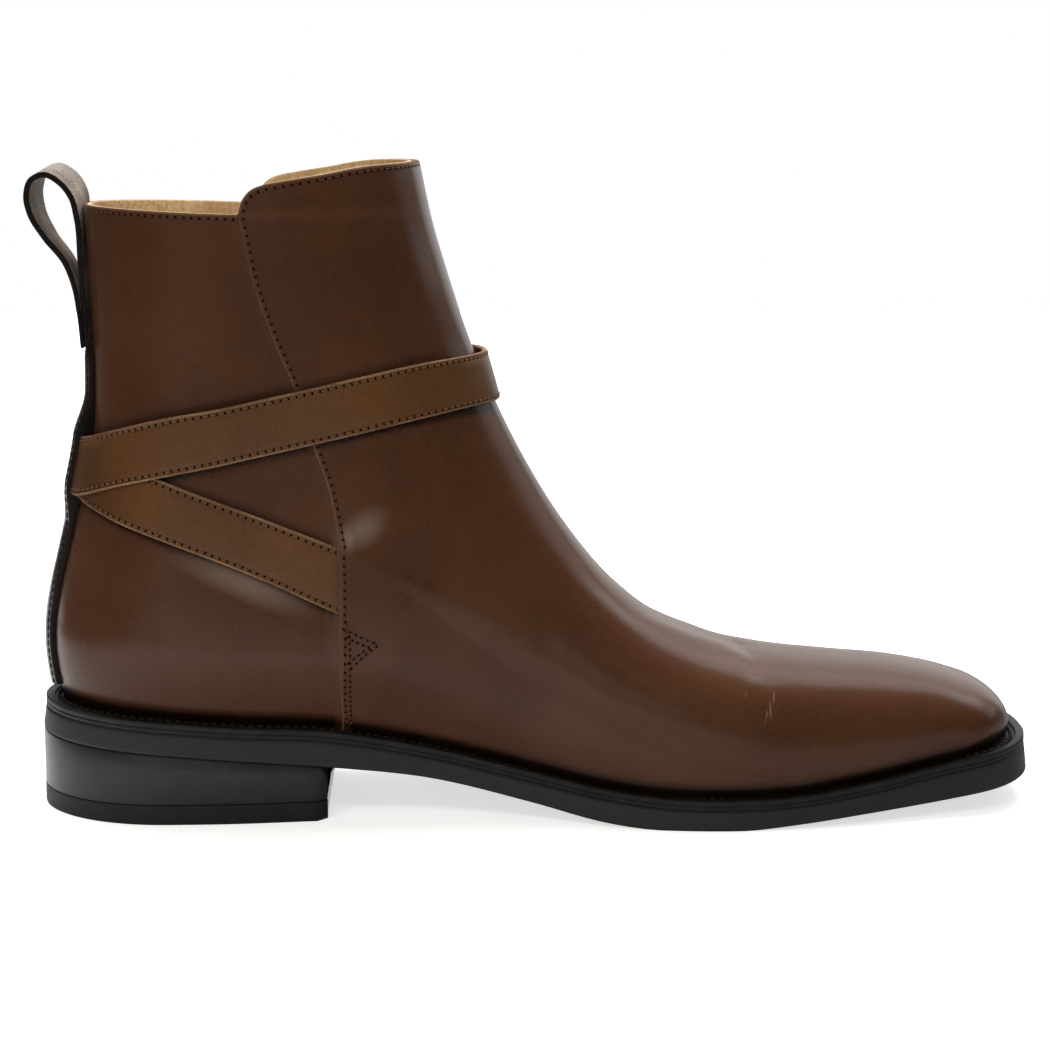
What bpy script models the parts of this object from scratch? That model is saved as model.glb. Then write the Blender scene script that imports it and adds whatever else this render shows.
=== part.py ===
"""A left ankle boot with a wrap strap: welted sole with a stacked heel, a hollow leather upper
with a high front flap, two straps round the ankle, a back stay and a pull loop.

Sizes are in millimetres. x runs forward from the back of the heel, y from the inner to the
outer side of the foot and z up from the floor. The part's origin is under the middle of its box.
"""

import bmesh
import bpy
import numpy as np

MM = 0.001
ORIGIN = np.array([152.0, 3.4, 0.0])
GAP = 0.3
FINE = 400
MERGE = 1e-7
SHARP_DEGREES = 40.0

# Colour (linear red, green and blue) and roughness of each piece.
BLACK, BROWN = (0.018, 0.017, 0.016), (0.065, 0.025, 0.015)
STRAP_BROWN, TAN = (0.09, 0.042, 0.02), (0.5, 0.33, 0.18)
FINISHES = {
    "outsole": (BLACK, 0.5),
    "welt": (BLACK, 0.4),
    "insole": (TAN, 0.6),
    "heel_block": (BLACK, 0.4),
    "top_lift": (BLACK, 0.55),
    "upper": (BROWN, 0.3),
    "strap_lower": (STRAP_BROWN, 0.35),
    "strap_upper": (STRAP_BROWN, 0.35),
    "back_stay": (BROWN, 0.35),
    "pull_loop": (BROWN, 0.5),
}


def table(columns, *rows):
    """A short table as one array for each named column."""
    return dict(zip(columns.split(), np.array(rows, float).T))


# The sole at stations along its length: breadth to each side before its ends are rounded,
# height of the welt's top and of the tread.
SOLE_BACK, SOLE_TIP = 1.0, 304.0
SOLE = table(
    "x  inner  outer  top  tread",
    (0, 35.0, 35.0, 33.8, 23.6),
    (30, 35.4, 35.4, 31.9, 22.0),
    (60, 35.1, 35.3, 29.4, 19.4),
    (90, 32.2, 34.6, 27.2, 16.4),
    (120, 31.0, 37.2, 21.7, 12.6),
    (150, 35.5, 44.5, 15.3, 6.1),
    (172, 41.6, 50.8, 11.2, 1.3),
    (186, 45.2, 53.5, 9.7, 0.0),
    (200, 47.0, 54.0, 9.1, 0.0),
    (212, 47.2, 53.2, 9.1, 0.0),
    (228, 45.8, 50.8, 9.7, 1.3),
    (250, 41.4, 45.6, 12.4, 3.4),
    (275, 34.0, 38.2, 16.4, 5.5),
    (304, 28.5, 30.5, 21.3, 9.7),
)
HEEL_ROUND, HEEL_POWER = 40.0, 2.0
TOE_ROUND, TOE_POWER = 22.0, 2.6
SOLE_STATIONS = 37

WELT_THICK = 3.2
WELT_INSET, WELT_INNER_INSET, WELT_BEVEL = 0.9, 11.2, 0.6
GROOVE_DEEP, GROOVE_HIGH = 0.7, 1.2
TREAD_ROUND = 0.5
INSOLE_INSET, INSOLE_RISE = 11.5, 2.0

BREAST_X, BREAST_HOLLOW, BREAST_CORNER = 89.0, 2.5, 3.0
TOP_LIFT_THICK = 6.0
HEEL_STATIONS, HEEL_ACROSS = 20, 6

# The upper seen from the side. The ridge runs from the toe over the instep to the front of the
# flap; reach is how far the wall takes to turn from the ridge to full breadth, the powers say
# how square that turn is on each side, and lean is the ridge's place across the foot.
WALL = 2.2
FLAP_STEP = 1.3
FOOT_INSET, TUCK, TUCK_HEIGHT = 3.5, 2.5, 14.0
RIDGE = table(
    "x  z  reach  inner_power  outer_power  lean",
    (296.8, 20.9, 19, 2.5, 2.5, 1.0),
    (297.1, 24.8, 19, 2.5, 2.5, 1.0),
    (295.4, 28.2, 19, 2.5, 2.5, 1.0),
    (290.6, 32.2, 18.5, 2.7, 2.4, 0.8),
    (281.3, 36.2, 20.5, 2.8, 2.2, 0.5),
    (263.2, 40.6, 25, 2.8, 2.0, -0.5),
    (243.3, 43.0, 29, 2.8, 1.9, -2.5),
    (221.2, 46.1, 31, 2.8, 1.8, -4.5),
    (200.7, 51.4, 31, 2.7, 1.75, -6.0),
    (188.4, 56.5, 31.5, 2.55, 1.7, -6.0),
    (175.8, 66.1, 34, 2.4, 1.7, -5.0),
    (159.7, 85.1, 42, 2.2, 1.75, -3.5),
    (148.1, 103.6, 50, 2.0, 1.85, -2.0),
    (138.1, 123.6, 51, 2.0, 2.0, -1.0),
    (131.1, 140.6, 48, 2.1, 2.1, 0.0),
    (125.2, 158.7, 46, 2.2, 2.2, 0.0),
    (119.9, 176.7, 45, 2.2, 2.2, 0.0),
    (116.0, 194.8, 44, 2.2, 2.2, 0.0),
)
BACK = table(
    "x  z  reach  power",
    (7.0, 33.8, 36, 2.0),
    (5.7, 41.0, 36, 2.0),
    (5.0, 50.0, 36, 2.0),
    (5.5, 58.4, 36, 2.0),
    (7.2, 67.7, 37, 2.0),
    (9.5, 77.0, 38, 2.0),
    (12.2, 88.0, 39, 2.0),
    (15.2, 100.0, 40, 2.0),
    (17.6, 112.0, 41, 2.0),
    (18.9, 124.0, 42, 2.1),
    (19.2, 138.0, 42, 2.1),
    (18.6, 155.0, 42, 2.1),
    (17.5, 182.4, 42, 2.1),
)
SHAFT = table(
    "z  inner  outer",
    (40, 33.3, 34.3),
    (60, 33.5, 34.5),
    (85, 33.3, 34.3),
    (110, 33.4, 34.4),
    (135, 34.8, 35.8),
    (160, 37.0, 38.0),
    (195, 39.5, 40.5),
)
SHAFT_FROM, SHAFT_FULL = 36.0, 92.0
# Over the narrow waist of the sole the wall swells out to these half-breadths.
WAIST_INNER, WAIST_OUTER, WAIST_SOFT, WAIST_RISE = 33.0, 34.0, 2.0, 24.0

# The edge of the flap where it lies over the quarter, and the top of the flap.
SEAM = table(
    "x  z",
    (93.4, 27.0),
    (93.2, 49.0),
    (93.6, 67.0),
    (93.2, 84.5),
    (89.9, 102.5),
    (86.3, 113.0),
    (81.0, 130.0),
    (74.4, 146.6),
    (69.7, 161.3),
    (66.8, 175.9),
    (66.0, 180.6),
)
FLAP_TOP = table(
    "x  z",
    (66.0, 180.6),
    (67.2, 184.8),
    (69.6, 187.6),
    (72.9, 189.0),
    (78.0, 190.0),
    (89.0, 191.8),
    (101.0, 193.9),
    (116.0, 194.8),
)
RINGS, QUARTER_COLUMNS, VAMP_COLUMNS = 29, 10, 14
RIDGE_SPREAD, SEAM_SPREAD = 1.25, 2.1
SEAM_RISE = 0.15

# The straps: heights of their edges at stations along the foot.
STRAP_UPPER = table(
    "x  low  high",
    (17, 95.2, 112.0),
    (28, 99.6, 116.7),
    (41, 103.5, 121.0),
    (60, 108.1, 125.0),
    (80, 112.6, 129.4),
    (100, 117.1, 133.8),
    (120, 121.0, 136.9),
    (132, 122.4, 136.7),
    (142, 122.3, 135.2),
)
STRAP_LOWER = table(
    "x  low  high",
    (16, 94.6, 112.0),
    (27, 90.3, 108.6),
    (44, 84.5, 102.4),
    (73, 72.8, 91.4),
    (94, 62.8, 83.0),
)
STRAP_THICK = 1.5
STRAP_STEPS, STRAP_ROWS = 28, 3
STRAP_EASE = (0.3, 0.55)
STRAP_FRONT_STAND, STRAP_STAND_OFF = 2.0, (0.75, 1.0)

STAY_HALF_WIDTH, STAY_THICK = 8.0, 1.7
STAY_LOW, STAY_HIGH, STAY_STEPS, STAY_COLUMNS = 36.8, 138.0, 36, 5
KEEPER_LOW, KEEPER_HIGH, KEEPER_SLOPE = 94.0, 113.2, 7.5

LOOP_HALF_WIDTH, LOOP_STEPS = 9.0, 44
LOOP_LEAN, LOOP_LEAN_FROM = 2.2, 165.0
PULL_LOOP = table(
    "x  z  thick",
    (18.2, 138.6, 1.1),
    (17.75, 150.0, 1.3),
    (16.85, 164.0, 1.6),
    (16.1, 178.0, 1.7),
    (14.6, 184.2, 1.7),
    (11.6, 188.3, 1.7),
    (6.6, 190.9, 1.7),
    (2.9, 189.3, 1.7),
    (1.4, 184.8, 1.7),
    (2.3, 179.6, 1.7),
    (6.4, 172.6, 1.7),
    (12.2, 165.2, 1.7),
    (14.8, 158.0, 1.5),
    (16.0, 150.0, 1.3),
    (16.75, 139.6, 1.0),
)


def smooth(knots, values, at):
    """A smooth curve through the values at the knots, read at places between them."""
    at = np.clip(at, knots[0], knots[-1])
    slopes = np.gradient(values, knots)
    i = np.clip(np.searchsorted(knots, at, side="right") - 1, 0, len(knots) - 2)
    step = knots[i + 1] - knots[i]
    t = (at - knots[i]) / step
    start = (1 + 2 * t) * (1 - t) ** 2 * values[i] + t * (1 - t) ** 2 * step * slopes[i]
    end = (3 - 2 * t) * t**2 * values[i + 1] - (1 - t) * t**2 * step * slopes[i + 1]
    return start + end


def ramp(value, low, high):
    """Soft rise from 0 at low to 1 at high."""
    t = np.clip((value - low) / (high - low), 0.0, 1.0)
    return t * t * (3 - 2 * t)


def closing(distance, length, power):
    """Share of the full breadth at a distance from a rounded end."""
    away = 1.0 - np.clip(distance / length, 0.0, 1.0)
    return (1.0 - away**power) ** (1.0 / power)


def run_of(curve):
    """Share of the way along a side-view curve at each of its rows."""
    lengths = np.hypot(np.diff(curve["x"]), np.diff(curve["z"]))
    return np.concatenate([[0.0], np.cumsum(lengths)]) / lengths.sum()


def along(curve, share):
    """Side-view points at shares of the way along a curve."""
    run = run_of(curve)
    return np.stack([smooth(run, curve["x"], share), smooth(run, curve["z"], share)], -1)


def dense(curve):
    """The curve as many close samples, with each of its other columns."""
    share = np.linspace(0.0, 1.0, FINE)
    return {name: smooth(run_of(curve), column, share) for name, column in curve.items()}


RIDGE_FINE = dense(RIDGE)
BACK_FINE = dense(BACK)


def sole_top(x):
    return smooth(SOLE["x"], SOLE["top"], x)


def sole_tread(x):
    return np.maximum(smooth(SOLE["x"], SOLE["tread"], x), 0.0)


def nearest(fine, x, z):
    """Distance to a side-view curve, and the index of its nearest sample."""
    gap = np.hypot(x[..., None] - fine["x"], z[..., None] - fine["z"])
    index = gap.argmin(-1)
    return np.take_along_axis(gap, index[..., None], -1)[..., 0], index


def full_breadth(x, z, side):
    """Half-breadth of the upper before it closes to the ridge and the back."""
    name = "inner" if side < 0 else "outer"
    foot = smooth(SOLE["x"], SOLE[name], x) - FOOT_INSET
    short = (WAIST_INNER if side < 0 else WAIST_OUTER) - foot
    swell = (short + np.hypot(short, WAIST_SOFT)) / 2
    foot = foot + swell * ramp(z - sole_top(x), 0.0, WAIST_RISE)
    shaft = smooth(SHAFT["z"], SHAFT[name], z)
    above = np.clip((z - sole_top(x)) / TUCK_HEIGHT, 0.0, 1.0)
    return foot + (shaft - foot) * ramp(z, SHAFT_FROM, SHAFT_FULL) - TUCK * (1 - above) ** 2


def upper_face(x, z, side):
    """Points of the upper's outer face at side-view places, on one side of the foot."""
    ahead, front = nearest(RIDGE_FINE, x, z)
    behind, back = nearest(BACK_FINE, x, z)
    power = RIDGE_FINE["inner_power" if side < 0 else "outer_power"][front]
    reach = RIDGE_FINE["reach"][front]
    share = closing(ahead, reach, power)
    share = share * closing(behind, BACK_FINE["reach"][back], BACK_FINE["power"][back])
    lean = RIDGE_FINE["lean"][front] * (1 - np.clip(ahead / reach, 0.0, 1.0))
    return np.stack([x, lean + side * full_breadth(x, z, side) * share, z], -1)


def patch(left, right, low, high, across, up):
    """Side-view points inside four border curves, on a grid of shares across and up."""
    c, v = across[None, :, None], up[:, None, None]
    sides = (1 - c) * left[:, None] + c * right[:, None]
    ends = (1 - v) * low[None] + v * high[None]
    foot = (1 - c) * low[0] + c * low[-1]
    head = (1 - c) * high[0] + c * high[-1]
    return sides + ends - (1 - v) * foot - v * head


def feather(start, end, share):
    """The upper's lower edge, just clear of the welt, between two stations."""
    x = start + (end - start) * share
    return np.stack([x, sole_top(x) + GAP], -1)


def grid_normals(points):
    """Outward normals of a grid of rings, level along its lowest and highest rings."""
    round_way = np.roll(points, -1, 1) - np.roll(points, 1, 1)
    up_way = np.gradient(points, axis=0)
    normal = np.cross(round_way, up_way)
    normal[[0, -1], :, 2] = 0.0
    return normal / np.linalg.norm(normal, axis=-1, keepdims=True)


def finish(name, shape):
    """The object of a closed shape, with its smooth faces and its own material."""
    bmesh.ops.remove_doubles(shape, verts=shape.verts, dist=MERGE)
    bmesh.ops.recalc_face_normals(shape, faces=shape.faces)
    mesh = bpy.data.meshes.new(name)
    shape.to_mesh(mesh)
    shape.free()
    mesh.shade_smooth()
    mesh.set_sharp_from_angle(angle=np.radians(SHARP_DEGREES))
    colour, roughness = FINISHES[name]
    material = bpy.data.materials.new(name)
    material.use_nodes = True
    shader = material.node_tree.nodes["Principled BSDF"]
    shader.inputs["Base Color"].default_value = (*colour, 1.0)
    shader.inputs["Roughness"].default_value = roughness
    shader.inputs["Metallic"].default_value = 0.0
    mesh.materials.append(material)
    obj = bpy.data.objects.new(name, mesh)
    bpy.context.scene.collection.objects.link(obj)


def make(name, loops, closed_over=False):
    """A piece from closed loops of points: walls between them, and caps or a return to the first."""
    loops = (np.asarray(loops) - ORIGIN) * MM
    shape = bmesh.new()
    rings = [[shape.verts.new(point) for point in loop] for loop in loops]
    count = len(rings[0])
    for low, high in zip(rings, rings[1:] + rings[:1] if closed_over else rings[1:]):
        for i in range(count):
            j = (i + 1) % count
            shape.faces.new((low[i], low[j], high[j], high[i]))
    if not closed_over:
        for ring in (rings[0], rings[-1]):
            ladder(shape, ring)
    finish(name, shape)


def ladder(shape, ring):
    """Fills a ring with rungs from one side to the other, between its first and middle points."""
    count = len(ring)
    half = count // 2
    for i in range(half):
        rung = [ring[i], ring[i + 1], ring[-i - 1], ring[-i % count]]
        corners = list(dict.fromkeys(rung))
        if len(corners) > 2:
            shape.faces.new(corners)


def sole_outline(inset):
    """The sole's edge moved in, from the heel along the inner side to the toe and back."""
    turn = np.linspace(0, np.pi, SOLE_STATIONS)
    x = SOLE_BACK + (SOLE_TIP - SOLE_BACK) * (1 - np.cos(turn)) / 2
    share = closing(x - SOLE_BACK, HEEL_ROUND, HEEL_POWER)
    share = share * closing(SOLE_TIP - x, TOE_ROUND, TOE_POWER)
    inner = np.stack([x, -smooth(SOLE["x"], SOLE["inner"], x) * share], -1)
    outer = np.stack([x, smooth(SOLE["x"], SOLE["outer"], x) * share], -1)
    edge = np.concatenate([inner, outer[-2:0:-1]])
    run = np.roll(edge, -1, 0) - np.roll(edge, 1, 0)
    inward = np.stack([-run[:, 1], run[:, 0]], -1) / np.linalg.norm(run, axis=1)[:, None]
    return edge + inward * inset


def layer(inset, height, rise):
    """One loop of the sole at a height above the welt's top or the tread line."""
    edge = sole_outline(inset)
    return np.column_stack([edge, height(edge[:, 0]) + rise])


def make_sole():
    """Outsole, welt and insole board, stacked along the same bottom line."""
    outsole_top = -WELT_THICK - GAP
    make(
        "outsole",
        [
            layer(GROOVE_DEEP + WELT_INSET, sole_top, outsole_top),
            layer(GROOVE_DEEP + WELT_INSET, sole_top, outsole_top - GROOVE_HIGH / 2),
            layer(WELT_INSET / 2, sole_top, outsole_top - GROOVE_HIGH),
            layer(0.0, sole_tread, TREAD_ROUND),
            layer(TREAD_ROUND, sole_tread, 0.0),
        ],
    )
    make(
        "welt",
        [
            layer(WELT_INSET + WELT_BEVEL, sole_top, 0.0),
            layer(WELT_INSET, sole_top, -WELT_BEVEL),
            layer(WELT_INSET, sole_top, -WELT_THICK),
            layer(WELT_INNER_INSET, sole_top, -WELT_THICK),
            layer(WELT_INNER_INSET, sole_top, 0.0),
        ],
        closed_over=True,
    )
    make(
        "insole",
        [
            layer(INSOLE_INSET, sole_top, INSOLE_RISE),
            layer(INSOLE_INSET, sole_top, -WELT_THICK),
        ],
    )


def heel_loop(height):
    """A loop round the heel with its hollowed front, as rungs from side to side."""
    turn = np.linspace(0, np.pi / 2, HEEL_STATIONS)
    x = SOLE_BACK + (BREAST_X - SOLE_BACK) * (1 - np.cos(turn))
    corner = BREAST_CORNER * (1 - closing(BREAST_X - x, BREAST_CORNER, 2.0))
    share = closing(x - SOLE_BACK, HEEL_ROUND, HEEL_POWER)
    inner = -smooth(SOLE["x"], SOLE["inner"], x) * share + corner
    outer = smooth(SOLE["x"], SOLE["outer"], x) * share - corner
    across = np.linspace(0, 1, HEEL_ACROSS + 1)
    hollow = BREAST_HOLLOW * (1 - (2 * across - 1) ** 2)
    gx = x[:, None] - hollow * (x[:, None] / BREAST_X) ** 4
    gy = inner[:, None] + (outer - inner)[:, None] * across
    return np.stack([gx, gy, height(gx)], -1)


def make_slab(name, top, low):
    """A solid between two grids with the same outline."""
    shape = bmesh.new()
    grids = []
    for grid in (top, low):
        points = (grid - ORIGIN) * MM
        grids.append([[shape.verts.new(point) for point in row] for row in points])
    rows, columns = len(top), len(top[0])
    for verts in grids:
        for i in range(rows - 1):
            for j in range(columns - 1):
                corners = (verts[i][j], verts[i][j + 1], verts[i + 1][j + 1], verts[i + 1][j])
                shape.faces.new(corners)
    border = [(i, 0) for i in range(rows)]
    border += [(rows - 1, j) for j in range(1, columns)]
    border += [(i, columns - 1) for i in range(rows - 2, -1, -1)]
    for (i, j), (k, m) in zip(border, border[1:]):
        shape.faces.new((grids[0][i][j], grids[0][k][m], grids[1][k][m], grids[1][i][j]))
    finish(name, shape)


def make_heel():
    """Stacked block under the outsole and the top lift that it stands on."""

    def under_outsole(x):
        return sole_tread(x) - GAP

    def level(height):
        return lambda x: np.full_like(x, height)

    make_slab("heel_block", heel_loop(under_outsole), heel_loop(level(TOP_LIFT_THICK + GAP)))
    make_slab("top_lift", heel_loop(level(TOP_LIFT_THICK)), heel_loop(level(0.0)))


def upper_grid():
    """Rings of the upper's outer face before the flap's step, and the step at each column."""
    up = np.linspace(0.0, 1.0, RINGS)
    back, seam = along(BACK, up**SEAM_SPREAD), along(SEAM, up**SEAM_SPREAD)
    ridge = along(RIDGE, up**RIDGE_SPREAD)
    quarter = 1 - np.cos(np.linspace(0, np.pi / 2, QUARTER_COLUMNS))
    vamp = np.sin(np.linspace(0, np.pi / 2, VAMP_COLUMNS))
    collar = back[-1] + (seam[-1] - back[-1]) * quarter[:, None]
    rear = patch(back, seam, feather(back[0, 0], seam[0, 0], quarter), collar, quarter, up)
    front = patch(
        seam, ridge, feather(seam[0, 0], ridge[0, 0], vamp), along(FLAP_TOP, vamp), vamp, up
    )
    side_view = np.concatenate([rear, front], 1)
    step = np.concatenate([np.zeros(QUARTER_COLUMNS), np.full(VAMP_COLUMNS, FLAP_STEP)])
    side_view[:, QUARTER_COLUMNS, 0] += SEAM_RISE
    inner = upper_face(side_view[..., 0], side_view[..., 1], -1)
    outer = upper_face(side_view[..., 0], side_view[..., 1], 1)
    rings = np.concatenate([inner, outer[:, -2:0:-1]], 1)
    return rings, np.concatenate([step, step[-2:0:-1]])


def make_upper():
    """Hollow shell of vamp, flap and quarters, open at the collar and underneath."""
    rings, step = upper_grid()
    normals = grid_normals(rings)
    outside = rings + normals * step[None, :, None]
    inside = rings - normals * WALL
    make("upper", np.concatenate([outside, inside[::-1]]), closed_over=True)


def back_x(z):
    return np.interp(z, BACK_FINE["z"], BACK_FINE["x"])


def ridge_x(z):
    return np.interp(z, RIDGE_FINE["z"], RIDGE_FINE["x"])


def seam_x(z):
    return np.interp(z, SEAM["z"], SEAM["x"])


def strap_height(edges, x, row):
    """Height of a strap at a station, from its low edge at row 0 to its high edge at row 1."""
    low, high = smooth(edges["x"], edges["low"], x), smooth(edges["x"], edges["high"], x)
    return low + (high - low) * row


def strap_face(edges, end_x, share, outer):
    """Points on the upper under a strap, at shares of the way from the back to its end."""
    rows = np.linspace(0.0, 1.0, STRAP_ROWS)[:, None]
    start = back_x(strap_height(edges, edges["x"][0], rows))
    end = end_x(strap_height(edges, edges["x"][-1], rows))
    x = start + (end - start) * share[None]
    z = strap_height(edges, x, rows)
    inner_face, outer_face = upper_face(x, z, -1), upper_face(x, z, 1)
    return np.where(outer[None, :, None], outer_face, inner_face)


def make_straps():
    """The lower strap from seam to seam round the back, and the upper one all the way round."""
    turn = np.linspace(-1.0, 1.0, 2 * STRAP_STEPS + 1)
    share = 1 - np.cos(turn * np.pi / 2)
    face = strap_face(STRAP_LOWER, lambda z: seam_x(z) - GAP, share, turn > 0)
    make_band("strap_lower", face, GAP, STRAP_THICK, closed_round=False)

    turn = np.linspace(0.0, 2.0, 2 * STRAP_STEPS, endpoint=False)
    share = (1 - np.cos(turn * np.pi)) / 2
    face = strap_face(STRAP_UPPER, ridge_x, share, turn < 1)
    over_lower, over_flap = 2 * GAP + STRAP_THICK, GAP + FLAP_STEP
    lift = over_lower + (over_flap - over_lower) * ramp(share, *STRAP_EASE)
    stand = STRAP_FRONT_STAND * ramp(share, *STRAP_STAND_OFF)
    lift = lift + stand * np.linspace(0.0, 1.0, STRAP_ROWS)[:, None]
    make_band("strap_upper", face, lift, STRAP_THICK, closed_round=True)


def make_band(name, face, lift, thick, closed_round):
    """A flat band that lies at a height off a face, given as rows of points along it."""
    if closed_round:
        around = np.roll(face, -1, 1) - np.roll(face, 1, 1)
    else:
        around = np.gradient(face, axis=1)
    normal = np.cross(np.gradient(face, axis=0), around)
    normal /= np.linalg.norm(normal, axis=-1, keepdims=True)
    lift = np.broadcast_to(lift, face.shape[:2])[..., None]
    near, far = face + normal * lift, face + normal * (lift + thick)
    section = np.concatenate([near, far[::-1]])
    make(name, section.swapaxes(0, 1), closed_over=closed_round)


def make_back_stay():
    """Strip down the back of the upper that bulges over both straps as their keeper."""
    z = np.linspace(STAY_LOW, STAY_HIGH, STAY_STEPS)
    share = np.interp(z, BACK_FINE["z"], np.linspace(0.0, 1.0, len(BACK_FINE["z"])))
    line = along(BACK, share)
    run = np.gradient(line, axis=0)
    ahead = np.stack([run[:, 1], -run[:, 0]], -1) / np.linalg.norm(run, axis=1)[:, None]
    across = np.linspace(-1.0, 1.0, STAY_COLUMNS) * STAY_HALF_WIDTH
    reach = np.interp(z, BACK_FINE["z"], BACK_FINE["reach"])[:, None]
    power = np.interp(z, BACK_FINE["z"], BACK_FINE["power"])[:, None]
    sides = np.where(across > 0, 1, -1)
    breadth = np.stack([full_breadth(line[:, 0], z, side) for side in sides], 1)
    turned = 1 - (1 - (np.abs(across) / breadth) ** power) ** (1 / power)
    places = line[:, None] + ahead[:, None] * (reach * turned)[..., None]
    face = np.stack([places[..., 0], across + 0 * turned, places[..., 1]], -1)
    below = ramp(z, KEEPER_LOW - KEEPER_SLOPE, KEEPER_LOW)
    above = ramp(z, KEEPER_HIGH, KEEPER_HIGH + KEEPER_SLOPE)
    lift = GAP + 2 * (GAP + STRAP_THICK) * (below - above)
    rows = face.swapaxes(0, 1)[::-1]
    make_band("back_stay", rows, lift[None, :], STAY_THICK, closed_round=False)


def make_pull_loop():
    """Band from the back up over the collar and down again, its two ends lying together."""
    share = np.linspace(0.0, 1.0, LOOP_STEPS)
    line = along(PULL_LOOP, share)
    thick = smooth(run_of(PULL_LOOP), PULL_LOOP["thick"], share)[:, None]
    run = np.gradient(line, axis=0)
    side = np.stack([-run[:, 1], run[:, 0]], -1) / np.linalg.norm(run, axis=1)[:, None]
    section = []
    for across, face in ((-1, -1), (1, -1), (1, 1), (-1, 1)):
        place = line + side * face * thick / 2
        lean = (across + 1) / 2 * LOOP_LEAN * ramp(line[:, 1], LOOP_LEAN_FROM, PULL_LOOP["z"].max())
        width = np.full(LOOP_STEPS, across * LOOP_HALF_WIDTH)
        section.append(np.stack([place[:, 0] + lean, width, place[:, 1] + lean], -1))
    make("pull_loop", np.stack(section, 1))


def main():
    for obj in list(bpy.data.objects):
        bpy.data.objects.remove(obj)
    make_sole()
    make_heel()
    make_upper()
    make_straps()
    make_back_stay()
    make_pull_loop()
    pieces = list(bpy.data.objects)
    boot = bpy.data.objects.new("boot", None)
    bpy.context.scene.collection.objects.link(boot)
    for piece in pieces:
        piece.parent = boot


main()
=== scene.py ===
"""Dresses the ankle boot's CAD frame with its leather, lining, thread and sole, on a studio stage.

Sizes in the tables are millimetres on the boot: x runs forward from the back of the heel, y from
the inner to the outer side of the foot and z up from the floor. Meshes are in the frame's metres.
"""

import functools

import bmesh
import bpy
import numpy as np
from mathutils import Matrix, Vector
from mathutils.bvhtree import BVHTree


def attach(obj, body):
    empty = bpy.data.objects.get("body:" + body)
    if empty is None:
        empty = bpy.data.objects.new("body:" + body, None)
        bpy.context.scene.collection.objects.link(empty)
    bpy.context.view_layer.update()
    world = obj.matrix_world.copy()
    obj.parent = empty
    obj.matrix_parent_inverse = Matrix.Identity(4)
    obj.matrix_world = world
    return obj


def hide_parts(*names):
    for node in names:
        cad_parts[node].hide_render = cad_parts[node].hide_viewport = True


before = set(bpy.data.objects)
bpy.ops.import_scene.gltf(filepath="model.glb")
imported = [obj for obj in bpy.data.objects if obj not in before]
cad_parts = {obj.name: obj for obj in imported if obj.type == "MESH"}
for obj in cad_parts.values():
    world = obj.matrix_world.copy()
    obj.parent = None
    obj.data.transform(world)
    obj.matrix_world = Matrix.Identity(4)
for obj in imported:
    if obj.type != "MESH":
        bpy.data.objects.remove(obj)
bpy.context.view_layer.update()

bl_info = {
    "name": "Ankle boot",
    "version": (1, 0, 0),
    "blender": (4, 5, 0),
    "location": "View3D > Sidebar > Boot",
    "description": "Leather, thread, sole and stage for a wrap-strap ankle boot",
    "category": "Object",
}

MM = 0.001
ORIGIN = np.array([152.0, 3.4, 0.0])


def linear(colour):
    """An sRGB hex colour as linear red, green, blue and alpha."""
    channels = [int(colour[i : i + 2], 16) / 255 for i in (1, 3, 5)]
    parts = [c / 12.92 if c <= 0.04045 else ((c + 0.055) / 1.055) ** 2.4 for c in channels]
    return (*parts, 1.0)


def table(columns, *rows):
    """A short table as one array for each named column."""
    return dict(zip(columns.split(), np.array(rows, float).T))


# Form of the boot, as in the CAD source.
# Sole: breadth to each side, height of the welt's top and of the tread at stations along it.
SOLE_BACK, SOLE_TIP = 1.0, 304.0
SOLE = table(
    "x  inner  outer  top  tread",
    (0, 35.0, 35.0, 33.8, 23.6),
    (30, 35.4, 35.4, 31.9, 22.0),
    (60, 35.1, 35.3, 29.4, 19.4),
    (90, 32.2, 34.6, 27.2, 16.4),
    (120, 31.0, 37.2, 21.7, 12.6),
    (150, 35.5, 44.5, 15.3, 6.1),
    (172, 41.6, 50.8, 11.2, 1.3),
    (186, 45.2, 53.5, 9.7, 0.0),
    (200, 47.0, 54.0, 9.1, 0.0),
    (212, 47.2, 53.2, 9.1, 0.0),
    (228, 45.8, 50.8, 9.7, 1.3),
    (250, 41.4, 45.6, 12.4, 3.4),
    (275, 34.0, 38.2, 16.4, 5.5),
    (304, 28.5, 30.5, 21.3, 9.7),
)
HEEL_ROUND, HEEL_POWER = 40.0, 2.0
TOE_ROUND, TOE_POWER = 22.0, 2.6
SOLE_STATIONS = 109
WELT_THICK, WELT_INSET, WELT_INNER_INSET = 3.2, 0.9, 11.2
BREAST_X, BREAST_HOLLOW, BREAST_CORNER = 89.0, 2.5, 3.0
TOP_LIFT_THICK = 6.0
HEEL_STATIONS, HEEL_ACROSS = 48, 16
# Profiles of the sole's layers: inset from the outline, and height over the line named.
LAYER_GAP = 0.3
OUTSOLE_OVER_TOP = ((1.5, 0.35), (1.15, -0.1), (0.85, -0.35), (0.75, -0.7), (0.6, -1.9))
OUTSOLE_OVER_TREAD = ((0.08, 1.2), (0.0, 0.6), (0.06, 0.2), (0.25, 0.0))
WELT_OVER_TOP = (
    (3.5, -0.1),
    (3.2, 0.0),
    (1.5, 0.0),
    (1.12, -0.1),
    (0.94, -0.35),
    (WELT_INSET, -0.7),
    (WELT_INSET, -1.78),
    (WELT_INSET + 0.1, -1.9),
    (WELT_INSET, -2.02),
    (WELT_INSET, -3.0),
    (WELT_INSET + 0.25, -WELT_THICK - 0.1),
    (WELT_INNER_INSET, -WELT_THICK),
    (WELT_INNER_INSET, -0.9),
    (3.75, -0.9),
)
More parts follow.
